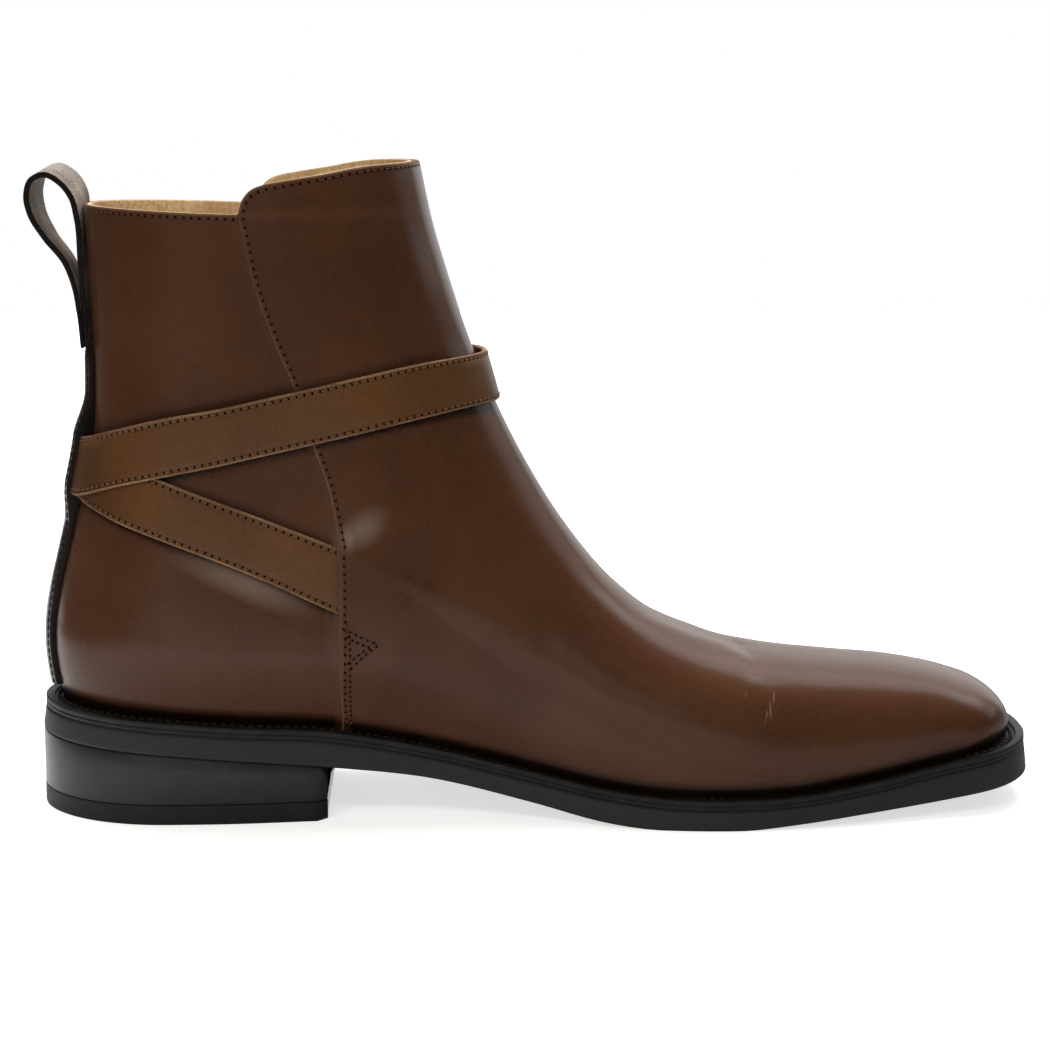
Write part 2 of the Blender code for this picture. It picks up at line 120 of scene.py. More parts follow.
HEEL_BELOW_TOP = ((0.3, -0.3), (0.1, 0.05), (0.02, 0.3))
HEEL_OVER_LIFT = ((0.06, 6.0), (0.06, 0.4), (0.12, 0.0), (0.25, -0.25))
LIFT_UNDER_HEEL = ((0.3, -0.3), (0.06, -0.42), (0.0, -0.7), (0.0, -5.7), (0.08, -6.15), (0.35, -6.3))

# Upper: ridge from toe to flap, line of the back, breadth of the shaft, flap edge and flap top.
FOOT_INSET, TUCK, TUCK_HEIGHT = 3.5, 2.5, 14.0
RIDGE = table(
    "x  z  reach  inner_power  outer_power  lean",
    (296.8, 20.9, 19, 2.5, 2.5, 1.0),
    (297.1, 24.8, 19, 2.5, 2.5, 1.0),
    (295.4, 28.2, 19, 2.5, 2.5, 1.0),
    (290.6, 32.2, 18.5, 2.7, 2.4, 0.8),
    (281.3, 36.2, 20.5, 2.8, 2.2, 0.5),
    (263.2, 40.6, 25, 2.8, 2.0, -0.5),
    (243.3, 43.0, 29, 2.8, 1.9, -2.5),
    (221.2, 46.1, 31, 2.8, 1.8, -4.5),
    (200.7, 51.4, 31, 2.7, 1.75, -6.0),
    (188.4, 56.5, 31.5, 2.55, 1.7, -6.0),
    (175.8, 66.1, 34, 2.4, 1.7, -5.0),
    (159.7, 85.1, 42, 2.2, 1.75, -3.5),
    (148.1, 103.6, 50, 2.0, 1.85, -2.0),
    (138.1, 123.6, 51, 2.0, 2.0, -1.0),
    (131.1, 140.6, 48, 2.1, 2.1, 0.0),
    (125.2, 158.7, 46, 2.2, 2.2, 0.0),
    (119.9, 176.7, 45, 2.2, 2.2, 0.0),
    (116.0, 194.8, 44, 2.2, 2.2, 0.0),
)
BACK = table(
    "x  z  reach  power",
    (7.0, 33.8, 36, 2.0),
    (5.7, 41.0, 36, 2.0),
    (5.0, 50.0, 36, 2.0),
    (5.5, 58.4, 36, 2.0),
    (7.2, 67.7, 37, 2.0),
    (9.5, 77.0, 38, 2.0),
    (12.2, 88.0, 39, 2.0),
    (15.2, 100.0, 40, 2.0),
    (17.6, 112.0, 41, 2.0),
    (18.9, 124.0, 42, 2.1),
    (19.2, 138.0, 42, 2.1),
    (18.6, 155.0, 42, 2.1),
    (17.5, 182.4, 42, 2.1),
)
SHAFT = table(
    "z  inner  outer",
    (40, 33.3, 34.3),
    (60, 33.5, 34.5),
    (85, 33.3, 34.3),
    (110, 33.4, 34.4),
    (135, 34.8, 35.8),
    (160, 37.0, 38.0),
    (195, 39.5, 40.5),
)
SHAFT_FROM, SHAFT_FULL = 36.0, 92.0
WAIST_INNER, WAIST_OUTER, WAIST_SOFT, WAIST_RISE = 33.0, 34.0, 2.0, 24.0
SEAM = table(
    "x  z",
    (93.4, 27.0),
    (93.2, 49.0),
    (93.6, 67.0),
    (93.2, 84.5),
    (89.9, 102.5),
    (86.3, 113.0),
    (81.0, 130.0),
    (74.4, 146.6),
    (69.7, 161.3),
    (66.8, 175.9),
    (66.0, 180.6),
)
FLAP_TOP = table(
    "x  z",
    (66.0, 180.6),
    (67.2, 184.8),
    (69.6, 187.6),
    (72.9, 189.0),
    (78.0, 190.0),
    (89.0, 191.8),
    (101.0, 193.9),
    (116.0, 194.8),
)
RINGS, QUARTER_COLUMNS, VAMP_COLUMNS = 190, 54, 90
RIDGE_SPREAD, SEAM_SPREAD, SEAM_EVEN = 1.25, 2.6, 0.25
UNDERLAP_COLUMNS = 7
FOOT_DROP, FEATHER_RISE = 1.8, 0.3
FINE = 400
TONE_SEAM_POINTS, TONE_TOP_POINTS = 40, 30
SHARP_ANGLE = 50.0

# Straps: heights of their edges at stations along the foot.
STRAP_UPPER = table(
    "x  low  high",
    (17, 95.2, 112.0),
    (28, 99.6, 116.7),
    (41, 103.5, 121.0),
    (60, 108.1, 125.0),
    (80, 112.6, 129.4),
    (100, 117.1, 133.8),
    (120, 121.0, 136.9),
    (132, 122.4, 136.7),
    (142, 122.3, 135.2),
)
STRAP_LOWER = table(
    "x  low  high",
    (16, 94.6, 112.0),
    (27, 90.3, 108.6),
    (44, 84.5, 102.4),
    (73, 72.8, 91.4),
    (94, 62.8, 83.0),
)
STRAP_STEPS = 120
STRAP_END_ROUNDS = 6
# Gap between each strap and the upper. The lower one sinks in where it goes under the flap.
LOWER_GAP, LOWER_SINK, LOWER_SINK_SHARE, LOWER_UNDER_FLAP = 0.3, 0.5, (0.86, 1.0), 1.5
UPPER_GAP, UPPER_EASE, STRAP_EASE = 2.1, 0.5, (0.3, 0.55)
STRAP_FRONT_STAND, STRAP_STAND_OFF = 2.0, (0.75, 1.0)
STRAP_ROWS = np.array([0, 4.2, 6.2, 8.2, 10.5, 14, 25, 37, 50, 63, 75, 86, 89.5, 91.8, 93.8, 95.8, 100]) / 100
STITCH_ROWS = (3, 13)
STRAP_CROWN, STRAP_PRESS, PRESS_WIDTH = 0.2, 0.2, 0.022
# Strap stitches stand a little out of the channel that they press into the leather.
STITCH_RAISE = 0.12

STAY_HALF_WIDTH, STAY_THICK = 8.0, 1.7
STAY_LOW, STAY_HIGH, STAY_STEPS = 36.8, 138.5, 110
STAY_ROWS = np.array([-100, -92, -82, -76, -70, -52, -26, 0, 26, 52, 70, 76, 82, 92, 100]) / 100
STAY_STITCH_ROWS = (3, 11)
STAY_CROWN, STAY_SKIVE, KEEPER_FLAT = 1.5, 0.5, 1.1
STAY_GAP, STAY_SINK, KEEPER_RISE = 0.3, 0.5, 3.6
STAY_PRESS, STAY_PRESS_WIDTH = 0.25, 0.07
STAY_TOP_SKIVE, STAY_TOP_EASE = 0.2, 2.5
KEEPER_LOW, KEEPER_HIGH, KEEPER_SLOPE = 98.5, 112.0, 14.0

LOOP_HALF_WIDTH, LOOP_STEPS = 9.0, 150
LOOP_LEAN, LOOP_LEAN_FROM = 2.2, 165.0
LOOP_ROWS = np.array([-100, -90, -79, -68, -35, 0, 35, 68, 79, 90, 100]) / 100
PULL_LOOP = table(
    "x  z  thick",
    (18.2, 138.6, 1.1),
    (17.75, 150.0, 1.3),
    (16.85, 164.0, 1.6),
    (16.1, 178.0, 1.7),
    (14.6, 184.2, 1.7),
    (11.6, 188.3, 1.7),
    (6.6, 190.9, 1.7),
    (2.9, 189.3, 1.7),
    (1.4, 184.8, 1.7),
    (2.3, 179.6, 1.7),
    (6.4, 172.6, 1.7),
    (12.2, 165.2, 1.7),
    (14.8, 158.0, 1.5),
    (16.0, 150.0, 1.3),
    (16.75, 139.6, 1.0),
)

# Soft troughs and ridges of the leather: side of the foot, height, half-width, side-view line.
CREASES = (
    (-1, 0.34, 5.0, ((186.0, 56.4), (197.5, 51.8), (208.0, 48.6), (213.6, 46.0))),
    (-1, -0.3, 4.4, ((214.0, 48.0), (218.6, 46.0), (219.4, 42.4))),
    (-1, -0.3, 1.9, ((213.6, 47.8), (216.0, 46.6), (216.6, 45.2), (215.6, 43.4))),
    (-1, 0.14, 1.8, ((213.0, 40.8), (212.4, 38.6))),
    (1, 0.45, 6.0, ((190.0, 54.0), (203.0, 48.0), (212.0, 42.0))),
    (1, -0.55, 4.6, ((208.0, 47.5), (216.0, 43.0), (219.0, 37.0))),
)
# The lower strap goes under the flap and lifts it; below the strap the quarter swells out.
STRAP_LIFT, STRAP_LIFT_FROM, STRAP_LIFT_TO, STRAP_DROP = 1.9, 104.0, 134.0, -0.476
STRAP_SWELL, SWELL_RISE, LIFT_RISE = 1.8, 3.4, 5.0
SWELL_LOW, SWELL_FULL = 33.0, 52.0
SWELL_START, SWELL_END, LIFT_EASE = (16.0, 60.0), (80.0, 100.0), 2.0
WAVE_HIGH, WAVE_LENGTHS = 0.08, (9.1, 17.0, 11.3, 23.0)

# Tone of the leather: the distances over which a painted shadow or a pale worn rim fades, and how strong it
# is.
# Painted shadow where the upper meets the welt, along the straps' edges and beside the back stay.
FOOT_SHADE, RIM_FADE, COLLAR_FADE, RIM_PALE = (1.6, 5.6), (0.6, 1.8), (0.8, 2.0), 0.5
LOW_EDGE_SHADE, HIGH_EDGE_SHADE, EDGE_SHADE_FADE = 0.95, 0.4, (0.4, 2.4)
STAY_SHADE, STAY_SHADE_FADE, STAY_SHADE_FRONT, STAY_SHADE_TOP = 0.9, (8.8, 10.4), 60.0, 138.0
STRAP_RIM_PALE, STRAP_RIM_FADE = 0.6, (0.85, 0.9)
# Painted shade on a strap towards the back, where it bends round the heel.
STRAP_BACK_SHADE, STRAP_BACK_FADE = 0.3, (18.0, 30.0)

# Painted sheen and scuffs: centre on the boot, half sizes, lean in degrees and strength. The first three
# are a painted highlight where a strap's edge presses the leather; the others are fine scuffs on the ball of
# the foot.
PAINTED_SHEEN_AND_SCUFF_SPOTS = (
    ((96.4, -34.5, 86.4), (4.2, 9.0, 6.0), 0.0, 0.46),
    ((100.4, -34.5, 88.8), (11.0, 9.0, 6.6), -38.0, 0.34),
    ((66.0, -34.0, 72.8), (29.0, 9.0, 6.6), 22.8, 0.36),
    ((221.2, -38.0, 38.2), (0.4, 6.0, 2.8), 11.0, 0.42),
    ((220.0, -41.0, 35.2), (0.42, 6.0, 4.0), 0.0, 0.5),
    ((218.8, -42.0, 34.2), (0.34, 6.0, 2.0), 12.0, 0.45),
    ((218.2, -43.0, 32.2), (0.3, 6.0, 1.2), 15.0, 0.25),
    ((212.8, -39.0, 39.8), (0.5, 6.0, 1.5), 20.0, 0.22),
)

# Rows of stitching on the upper, in side view. The tack is a triangle at the foot of the flap.
TACK_OUTER = ((94.6, 59.3), (104.6, 54.6), (96.6, 48.2))
TACK_INNER = ((95.2, 56.8), (102.0, 53.8), (95.8, 49.6))
TACK_ROW = ((96.0, 57.0), (96.2, 28.8))

# Thread radius and needle hole radius of each kind of row, and how its holes are formed.
UPPER_THREAD, STRAP_THREAD, STAY_THREAD, WELT_THREAD = (0.2, 0.42), (0.24, 0.46), (0.3, 0.36), (0.6, 0.5)
THREAD_SIDES, HOLE_SIDES, HOLE_STRETCH, HOLE_PROUD, HOLE_DEPTH = 6, 8, 0.6, 0.04, 0.4
# A row is looked for from this far outside the leather.
ROW_PUSH = 3.0
FLAP_ROW_START, FLAP_SEAM_POINTS, FLAP_TOP_POINTS = 0.012, 80, 60
COLLAR_ROW_FROM, COLLAR_ROW_TO, COLLAR_POINTS = 20.0, 67.0, 40
TACK_POINTS, TACK_PITCH = 60, 0.78
WELT_ROW_INSET, WELT_ROW_DEPTH = 4.9, -0.75

# Roundings of the cut edges, and the gap between leather and lining.
UPPER_ROUND, STRAP_ROUND, STAY_ROUND, LOOP_ROUND, LINING_GAP = 0.55, 0.5, 0.35, 0.3, 0.1

# Camera fitted to the photograph, in the frame's metres.
CAMERA_PLACE = (-0.028, -0.8034, 0.220)
CAMERA_AIM = (-0.003, -0.0034, 0.084)
CAMERA_LENS, CAMERA_SENSOR = 90.87, 36.0

# Soft boxes: name, place, aim, width and height in metres, and brightness of the panel.
SOFT_BOXES = (
    ("top_box", (0.25, 1.2, 1.7), (0.25, 1.2, 0.0), 3.5, 1.1, 1.7),
    ("top_fill", (0.0, 0.5, 1.6), (0.0, 0.5, 0.0), 1.5, 1.1, 5.0),
    ("back_wall", (0.25, 1.75, 0.85), (0.25, 0.0, 0.85), 2.5, 1.7, 0.85),
    ("right_box", (1.75, 0.9, 1.1), (0.0, 0.0, 0.1), 1.2, 1.4, 0.7),
    ("front_glow", (-0.55, -1.55, 0.2), (0.0, 0.0, 0.07), 1.0, 0.4, 0.4),
    ("front_key", (-0.36, -1.34, 1.37), (0.0, 0.0, 0.07), 1.4, 0.47, 4.0),
    ("front_fill", (-0.5, -2.2, 1.0), (0.0, 0.0, 0.1), 3.0, 2.0, 0.62),
)
# The fills light the leather's colour and stay out of its reflections.
NOT_REFLECTED = ("front_fill", "front_key", "top_fill")
TABLE_LEFT, TABLE_RIGHT, TABLE_FRONT, TABLE_BACK = -1.9, 1.9, -0.34, 1.7
# Gap under the shown table, and the span across which the reflected table's painted shade turns from white to
# grey.
TABLE_GAP, TABLE_PAINTED_SHADE_FADE = 0.001, (-0.16, 0.12)
# Name, left, right and front of each part of the table that the leather reflects.
REFLECTED_TABLES = (
    ("reflected_table", -0.38, TABLE_RIGHT, TABLE_FRONT),
    ("reflected_wing", -0.7, -0.38, 0.3),
)
AMBIENT = 0.05


def smooth(knots, values, at):
    """A smooth curve through the values at the knots, read at places between them."""
    at = np.clip(at, knots[0], knots[-1])
    slopes = np.gradient(values, knots)
    i = np.clip(np.searchsorted(knots, at, side="right") - 1, 0, len(knots) - 2)
    step = knots[i + 1] - knots[i]
    t = (at - knots[i]) / step
    start = (1 + 2 * t) * (1 - t) ** 2 * values[i] + t * (1 - t) ** 2 * step * slopes[i]
    end = (3 - 2 * t) * t**2 * values[i + 1] - (1 - t) * t**2 * step * slopes[i + 1]
    return start + end


def ramp(value, low, high):
    """Soft rise from 0 at low to 1 at high."""
    t = np.clip((value - low) / (high - low), 0.0, 1.0)
    return t * t * (3 - 2 * t)


def bump(distance, width):
    """Soft hill of height 1 that fades with distance."""
    return np.exp(-((distance / width) ** 2))


def closing(distance, length, power):
    """Share of the full breadth at a distance from a rounded end."""
    away = 1.0 - np.clip(distance / length, 0.0, 1.0)
    return (1.0 - away**power) ** (1.0 / power)


def run_of(curve):
    """Share of the way along a side-view curve at each of its rows."""
    lengths = np.hypot(np.diff(curve["x"]), np.diff(curve["z"]))
    return np.concatenate([[0.0], np.cumsum(lengths)]) / lengths.sum()


def along(curve, share):
    """Side-view points at shares of the way along a curve."""
    run = run_of(curve)
    return np.stack([smooth(run, curve["x"], share), smooth(run, curve["z"], share)], -1)


def dense(curve):
    """The curve as many close samples, with each of its other columns."""
    share = np.linspace(0.0, 1.0, FINE)
    return {name: smooth(run_of(curve), column, share) for name, column in curve.items()}


RIDGE_FINE = dense(RIDGE)
BACK_FINE = dense(BACK)


def unit(vectors):
    """Vectors of length 1 in the same directions."""
    return vectors / np.maximum(np.linalg.norm(vectors, axis=-1, keepdims=True), 1e-12)


def sole_top(x):
    """Height of the welt's top at a station."""
    return smooth(SOLE["x"], SOLE["top"], x)


def sole_tread(x):
    """Height of the tread at a station."""
    return np.maximum(smooth(SOLE["x"], SOLE["tread"], x), 0.0)


def nearest(fine, x, z):
    """Distance to a side-view curve, and its nearest place as a fraction of its samples."""
    index = np.hypot(x[..., None] - fine["x"], z[..., None] - fine["z"]).argmin(-1)
    run_x, run_z = np.gradient(fine["x"]), np.gradient(fine["z"])
    away_x, away_z = x - fine["x"][index], z - fine["z"][index]
    slide = away_x * run_x[index] + away_z * run_z[index]
    slide = np.clip(slide / (run_x**2 + run_z**2)[index], -0.5, 0.5)
    slide = np.clip(index + slide, 0, FINE - 1) - index
    gap = np.hypot(away_x - slide * run_x[index], away_z - slide * run_z[index])
    return gap, index + slide


def full_breadth(x, z, side):
    """Half-breadth of the upper before it closes to the ridge and the back."""
    name = "inner" if side < 0 else "outer"
    foot = smooth(SOLE["x"], SOLE[name], x) - FOOT_INSET
    short = (WAIST_INNER if side < 0 else WAIST_OUTER) - foot
    swell = (short + np.hypot(short, WAIST_SOFT)) / 2
    foot = foot + swell * ramp(z - sole_top(x), 0.0, WAIST_RISE)
    shaft = smooth(SHAFT["z"], SHAFT[name], z)
    above = np.clip((z - sole_top(x)) / TUCK_HEIGHT, 0.0, 1.0)
    return foot + (shaft - foot) * ramp(z, SHAFT_FROM, SHAFT_FULL) - TUCK * (1 - above) ** 2


def upper_face(x, z, side):
    """Points of the upper's outer face at side-view places, on one side of the foot."""
    ahead, front = nearest(RIDGE_FINE, x, z)
    behind, back = nearest(BACK_FINE, x, z)
    samples = np.arange(FINE)
    power = np.interp(front, samples, RIDGE_FINE["inner_power" if side < 0 else "outer_power"])
    reach = np.interp(front, samples, RIDGE_FINE["reach"])
    share = closing(ahead, reach, power)
    back_reach = np.interp(back, samples, BACK_FINE["reach"])
    share = share * closing(behind, back_reach, np.interp(back, samples, BACK_FINE["power"]))
    lean = np.interp(front, samples, RIDGE_FINE["lean"]) * (1 - np.clip(ahead / reach, 0.0, 1.0))
    return np.stack([x, lean + side * full_breadth(x, z, side) * share, z], -1)


def patch(left, right, low, high, across, up):
    """Side-view points inside four border curves, on a grid of shares across and up."""
    c, v = across[None, :, None], up[:, None, None]
    sides = (1 - c) * left[:, None] + c * right[:, None]
    ends = (1 - v) * low[None] + v * high[None]
    foot = (1 - c) * low[0] + c * low[-1]
    head = (1 - c) * high[0] + c * high[-1]
    return sides + ends - (1 - v) * foot - v * head


def feather(start, end, share):
    """The upper's lower edge on the welt, between two stations."""
    x = start + (end - start) * share
    return np.stack([x, sole_top(x) + FEATHER_RISE], -1)


def ring_normals(points):
    """Outward normals of a grid of rings, level along its lowest and highest rings."""
    round_way = np.roll(points, -1, 1) - np.roll(points, 1, 1)
    normal = np.cross(round_way, np.gradient(points, axis=0))
    normal[[0, -1], :, 2] = 0.0
    return unit(normal)


def line_distance(points, line):
    """Distance of each point to a bent line."""
    gaps = []
    for start, end in zip(line[:-1], line[1:]):
        run = end - start
        share = np.clip((points - start) @ run / (run @ run), 0.0, 1.0)
        gaps.append(np.linalg.norm(points - start - share[..., None] * run, axis=-1))
    return np.min(gaps, axis=0)


def bent(corners, steps=16):
    """A side-view line through its corners, as many points."""
    corners = np.array(corners, float)
    lengths = np.linalg.norm(np.diff(corners, axis=0), axis=1)
    run = np.concatenate([[0.0], np.cumsum(lengths)])
    places = np.linspace(0.0, run[-1], steps)
    return np.stack([np.interp(places, run, corners[:, i]) for i in (0, 1)], -1)


def strap_height(edges, x, row):
    """Height of a strap at a station, from its low edge at row 0 to its high edge at row 1."""
    low, high = smooth(edges["x"], edges["low"], x), smooth(edges["x"], edges["high"], x)
    return low + (high - low) * row


def seam_x(z):
    """Station of the flap's seam at a height."""
    return np.interp(z, SEAM["z"], SEAM["x"])


def collar_height(x):
    """Height of the collar between the back and the flap."""
    return np.interp(x, (BACK["x"][-1], SEAM["x"][-1]), (BACK["z"][-1], SEAM["z"][-1]))


def flap_border(start, seam_points, top_points):
    """Side-view line up the flap's seam, from a share of it, and along the flap's top."""
    seam = along(SEAM, np.linspace(start, 1.0, seam_points))
    return np.concatenate([seam[:-1], along(FLAP_TOP, np.linspace(0.0, 1.0, top_points))])


def leather_relief(rings):
    """How far the worn leather stands off its last at each point of the rings."""
    x, y, z = np.moveaxis(rings, -1, 0)
    relief = np.zeros(x.shape)
    for side, height, width, corners in CREASES:
        places = bent(corners)
        line = upper_face(places[:, 0], places[:, 1], side)
        relief += height * bump(line_distance(rings, line), width)
    end = STRAP_LOWER["x"][-1]
    drop = STRAP_DROP * np.maximum(x - end, 0.0)
    low, high = (strap_height(STRAP_LOWER, x, row) + drop for row in (0.0, 1.0))
    fade = ramp(x, seam_x(z) - LIFT_EASE, seam_x(z)) * (1 - ramp(x, STRAP_LIFT_FROM, STRAP_LIFT_TO))
    foot = ramp(z, SWELL_LOW, SWELL_FULL)
    relief += STRAP_LIFT * fade * foot * np.exp(-np.maximum(z - high, 0.0) / LIFT_RISE)
    swell = foot * (1 - np.exp(-np.maximum(low - z, 0.0) / SWELL_RISE))
    relief += STRAP_SWELL * swell * ramp(x, *SWELL_START) * (1 - ramp(x, *SWELL_END))
    wave_x, wave_z, cross_z, cross_y = WAVE_LENGTHS
    relief += WAVE_HIGH * np.sin(x / wave_x + z / wave_z) * np.sin(z / cross_z - y / cross_y)
    return relief


@functools.lru_cache(maxsize=None)
def upper_form():
    """Rings of the worn upper before the flap's step, and their outward normals."""
    up = np.linspace(0.0, 1.0, RINGS)
    level = SEAM_EVEN * up + (1 - SEAM_EVEN) * up**SEAM_SPREAD
    back, seam, ridge = along(BACK, level), along(SEAM, level), along(RIDGE, up**RIDGE_SPREAD)
    quarter = 1 - np.cos(np.linspace(0, np.pi / 2, QUARTER_COLUMNS))
    vamp = np.sin(np.linspace(0, np.pi / 2, VAMP_COLUMNS))
    collar = back[-1] + (seam[-1] - back[-1]) * quarter[:, None]
    rear = patch(back, seam, feather(back[0, 0], seam[0, 0], quarter), collar, quarter, up)
    edge = feather(seam[0, 0], ridge[0, 0], vamp)
    front = patch(seam, ridge, edge, along(FLAP_TOP, vamp), vamp, up)
    side_view = np.concatenate([rear, front[:, 1:]], 1)
    inner = upper_face(side_view[..., 0], side_view[..., 1], -1)
    outer = upper_face(side_view[..., 0], side_view[..., 1], 1)
    rings = np.concatenate([inner, outer[:, -2:0:-1]], 1)
    rings = rings + ring_normals(rings) * leather_relief(rings)[..., None]
    foot = rings[:1] - [0.0, 0.0, FOOT_DROP]
    normals = ring_normals(rings)
    return np.concatenate([foot, rings]), np.concatenate([normals[:1], normals])


def place(points):
    """Millimetres on the boot as metres in the frame."""
    return (np.asarray(points, float) - ORIGIN) * MM


def grid_faces(rows, columns, closed_round, first):
    """Corner numbers of a grid's quads."""
    number = first + np.arange(rows * columns).reshape(rows, columns)
    if closed_round:
        number = np.concatenate([number, number[:, :1]], 1)
    corners = (number[:-1, :-1], number[:-1, 1:], number[1:, 1:], number[1:, :-1])
    return np.stack(corners, -1).reshape(-1, 4)


def solid(name, points, faces, marks, materials, nodes, rounding=0.0, tone=None):
    """A closed piece in the frame; edges between the two marks of face can be rounded.

    tone gives how much darker (below 0, painted shade) or lighter (above 0, worn rims) the leather is at each
    place.
    """
    mesh = bpy.data.meshes.new(name)
    mesh.from_pydata(place(points).tolist(), [], faces)
    mesh.polygons.foreach_set("material_index", marks)
    shape = bmesh.new()
    shape.from_mesh(mesh)
    bmesh.ops.recalc_face_normals(shape, faces=shape.faces)
    if rounding:
        corners = [e for e in shape.edges if len({f.material_index for f in e.link_faces}) == 2]
        bmesh.ops.bevel(
            shape, geom=corners, offset=rounding * MM, segments=3, profile=0.5, affect="EDGES", material=1
        )
    shape.to_mesh(mesh)
    shape.free()
    mesh.shade_smooth()
    mesh.set_sharp_from_angle(angle=np.radians(SHARP_ANGLE))
    for material in materials:
        mesh.materials.append(material)
    if tone:
        spots = np.array([v.co for v in mesh.vertices]) / MM + ORIGIN
        shade = mesh.attributes.new("tone", "FLOAT", "POINT")
        shade.data.foreach_set("value", tone(*spots.T).astype(np.float32))
    piece = bpy.data.objects.new(name, mesh)
    bpy.context.scene.collection.objects.link(piece)
    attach(piece, "root")
    if nodes:
        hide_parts(*nodes)
    return piece


def leaf(name, outside, inside, materials, nodes=(), closed_round=False, rounding=0.4, tone=None):
    """A thin closed piece between two grids of points, with its cut edges rounded."""
    rows, columns = outside.shape[:2]
    count = rows * columns
    number = np.arange(count).reshape(rows, columns)
    borders = [number[0], number[-1]]
    if closed_round:
        borders = [np.append(line, line[0]) for line in borders]
    else:
        borders += [number[:, 0], number[:, -1]]
    edges = [np.stack([b[:-1], b[1:], b[1:] + count, b[:-1] + count], -1) for b in borders]
    skins = [grid_faces(rows, columns, closed_round, first) for first in (0, count)]
    faces = np.concatenate(skins + edges)
    marks = np.zeros(len(faces), int)
    marks[2 * len(skins[0]) :] = 1
    points = np.concatenate([outside.reshape(-1, 3), inside.reshape(-1, 3)])
    return solid(name, points, faces.tolist(), marks, materials, nodes, rounding, tone)


def upper_tone(x, y, z):
    """The upper has painted shadow by the welt, along the straps' edges and beside the stay, and is lighter
    along its worn top edges.
    """
    border = flap_border(0.0, TONE_SEAM_POINTS, TONE_TOP_POINTS)
    rim = 1 - ramp(line_distance(np.stack([x, z], -1), border), *RIM_FADE)
    collar = 1 - ramp(np.abs(z - collar_height(x)), *COLLAR_FADE)
    # Painted shadow along the welt, and under and over the straps' edges.
    shadow = 1 - ramp(z - sole_top(x), *FOOT_SHADE)
    for edges, end in ((STRAP_LOWER, seam_x(z)), (STRAP_UPPER, SOLE_TIP)):
        for row, depth in ((0.0, LOW_EDGE_SHADE), (1.0, HIGH_EDGE_SHADE)):
            off = np.abs(z - strap_height(edges, x, row))
            shadow = np.maximum(shadow, depth * (1 - ramp(off, *EDGE_SHADE_FADE)) * (x < end))
    # Painted shadow on the quarter beside the back stay's edges.
    stay = (1 - ramp(np.abs(y), *STAY_SHADE_FADE)) * (x < STAY_SHADE_FRONT) * (z < STAY_SHADE_TOP)
    return RIM_PALE * np.maximum(rim, collar) - np.maximum(shadow, STAY_SHADE * stay)


def strap_tone(edges):
    """A strap is lighter on its worn rims outside its stitching, and has a painted shade towards the back,
    where it bends round the heel.
    """

    def tone(x, y, z):
        low, high = (strap_height(edges, x, row) for row in (0.0, 1.0))
        row = np.abs((z - low) / (high - low) - 0.5) * 2
        behind = 1 - ramp(x, *STRAP_BACK_FADE)
        return STRAP_RIM_PALE * ramp(row, *STRAP_RIM_FADE) - STRAP_BACK_SHADE * behind

    return tone


def stack(name, loops, materials, nodes, closed_over=False):
    """A closed piece from loops of points, with caps or a return to the first loop."""
    loops = np.asarray(loops)
    rows, columns = loops.shape[:2]
    faces = (grid_faces(rows + closed_over, columns, True, 0) % (rows * columns)).tolist()
    if not closed_over:
        for first in (0, (rows - 1) * columns):
            for i in range(columns // 2):
                rung = (i, i + 1, columns - i - 1, (columns - i) % columns)
                corners = list(dict.fromkeys(first + c for c in rung))
                if len(corners) > 2:
                    faces.append(corners)
    marks = np.zeros(len(faces), int)
    return solid(name, loops.reshape(-1, 3), faces, marks, materials, nodes)


def inset_loop(edge, inset):
    """A closed plan outline moved in."""
    run = np.roll(edge, -1, 0) - np.roll(edge, 1, 0)
    inward = unit(np.stack([-run[:, 1], run[:, 0]], -1))
    return edge + inward * inset


@functools.lru_cache(maxsize=None)
def sole_edge():
    """The sole's outline from the heel along the inner side to the toe and back."""
    turn = np.linspace(0, np.pi, SOLE_STATIONS)
    x = SOLE_BACK + (SOLE_TIP - SOLE_BACK) * (1 - np.cos(turn)) / 2
    share = closing(x - SOLE_BACK, HEEL_ROUND, HEEL_POWER)
    share = share * closing(SOLE_TIP - x, TOE_ROUND, TOE_POWER)
    inner = np.stack([x, -smooth(SOLE["x"], SOLE["inner"], x) * share], -1)
    outer = np.stack([x, smooth(SOLE["x"], SOLE["outer"], x) * share], -1)
    return np.concatenate([inner, outer[-2:0:-1]])


def sole_layer(inset, height, rise):
    """One loop of the sole at a height above the welt's top or the tread line."""
    edge = inset_loop(sole_edge(), inset)
    return np.column_stack([edge, height(edge[:, 0]) + rise])


def heel_outline():
    """Plan outline of the heel with its hollowed front, from the back round the inner side."""
    turn = np.linspace(0, np.pi / 2, HEEL_STATIONS)
    x = SOLE_BACK + (BREAST_X - SOLE_BACK) * (1 - np.cos(turn))
    corner = BREAST_CORNER * (1 - closing(BREAST_X - x, BREAST_CORNER, 2.0))
    share = closing(x - SOLE_BACK, HEEL_ROUND, HEEL_POWER)
    inner = np.stack([x, -smooth(SOLE["x"], SOLE["inner"], x) * share + corner], -1)
    outer = np.stack([x, smooth(SOLE["x"], SOLE["outer"], x) * share - corner], -1)
    across = np.linspace(0, 1, HEEL_ACROSS + 1)[1:-1, None]
    front = inner[-1] + (outer[-1] - inner[-1]) * across
    front[:, 0] -= (BREAST_HOLLOW * (1 - (2 * across - 1) ** 2))[:, 0]
    return np.concatenate([inner, front, outer[:0:-1]])


def back_x(z):
    """Station of the upper's back at a height."""
    return np.interp(z, BACK_FINE["z"], BACK_FINE["x"])


def ridge_x(z):
    """Station of the upper's front ridge at a height."""
    return np.interp(z, RIDGE_FINE["z"], RIDGE_FINE["x"])


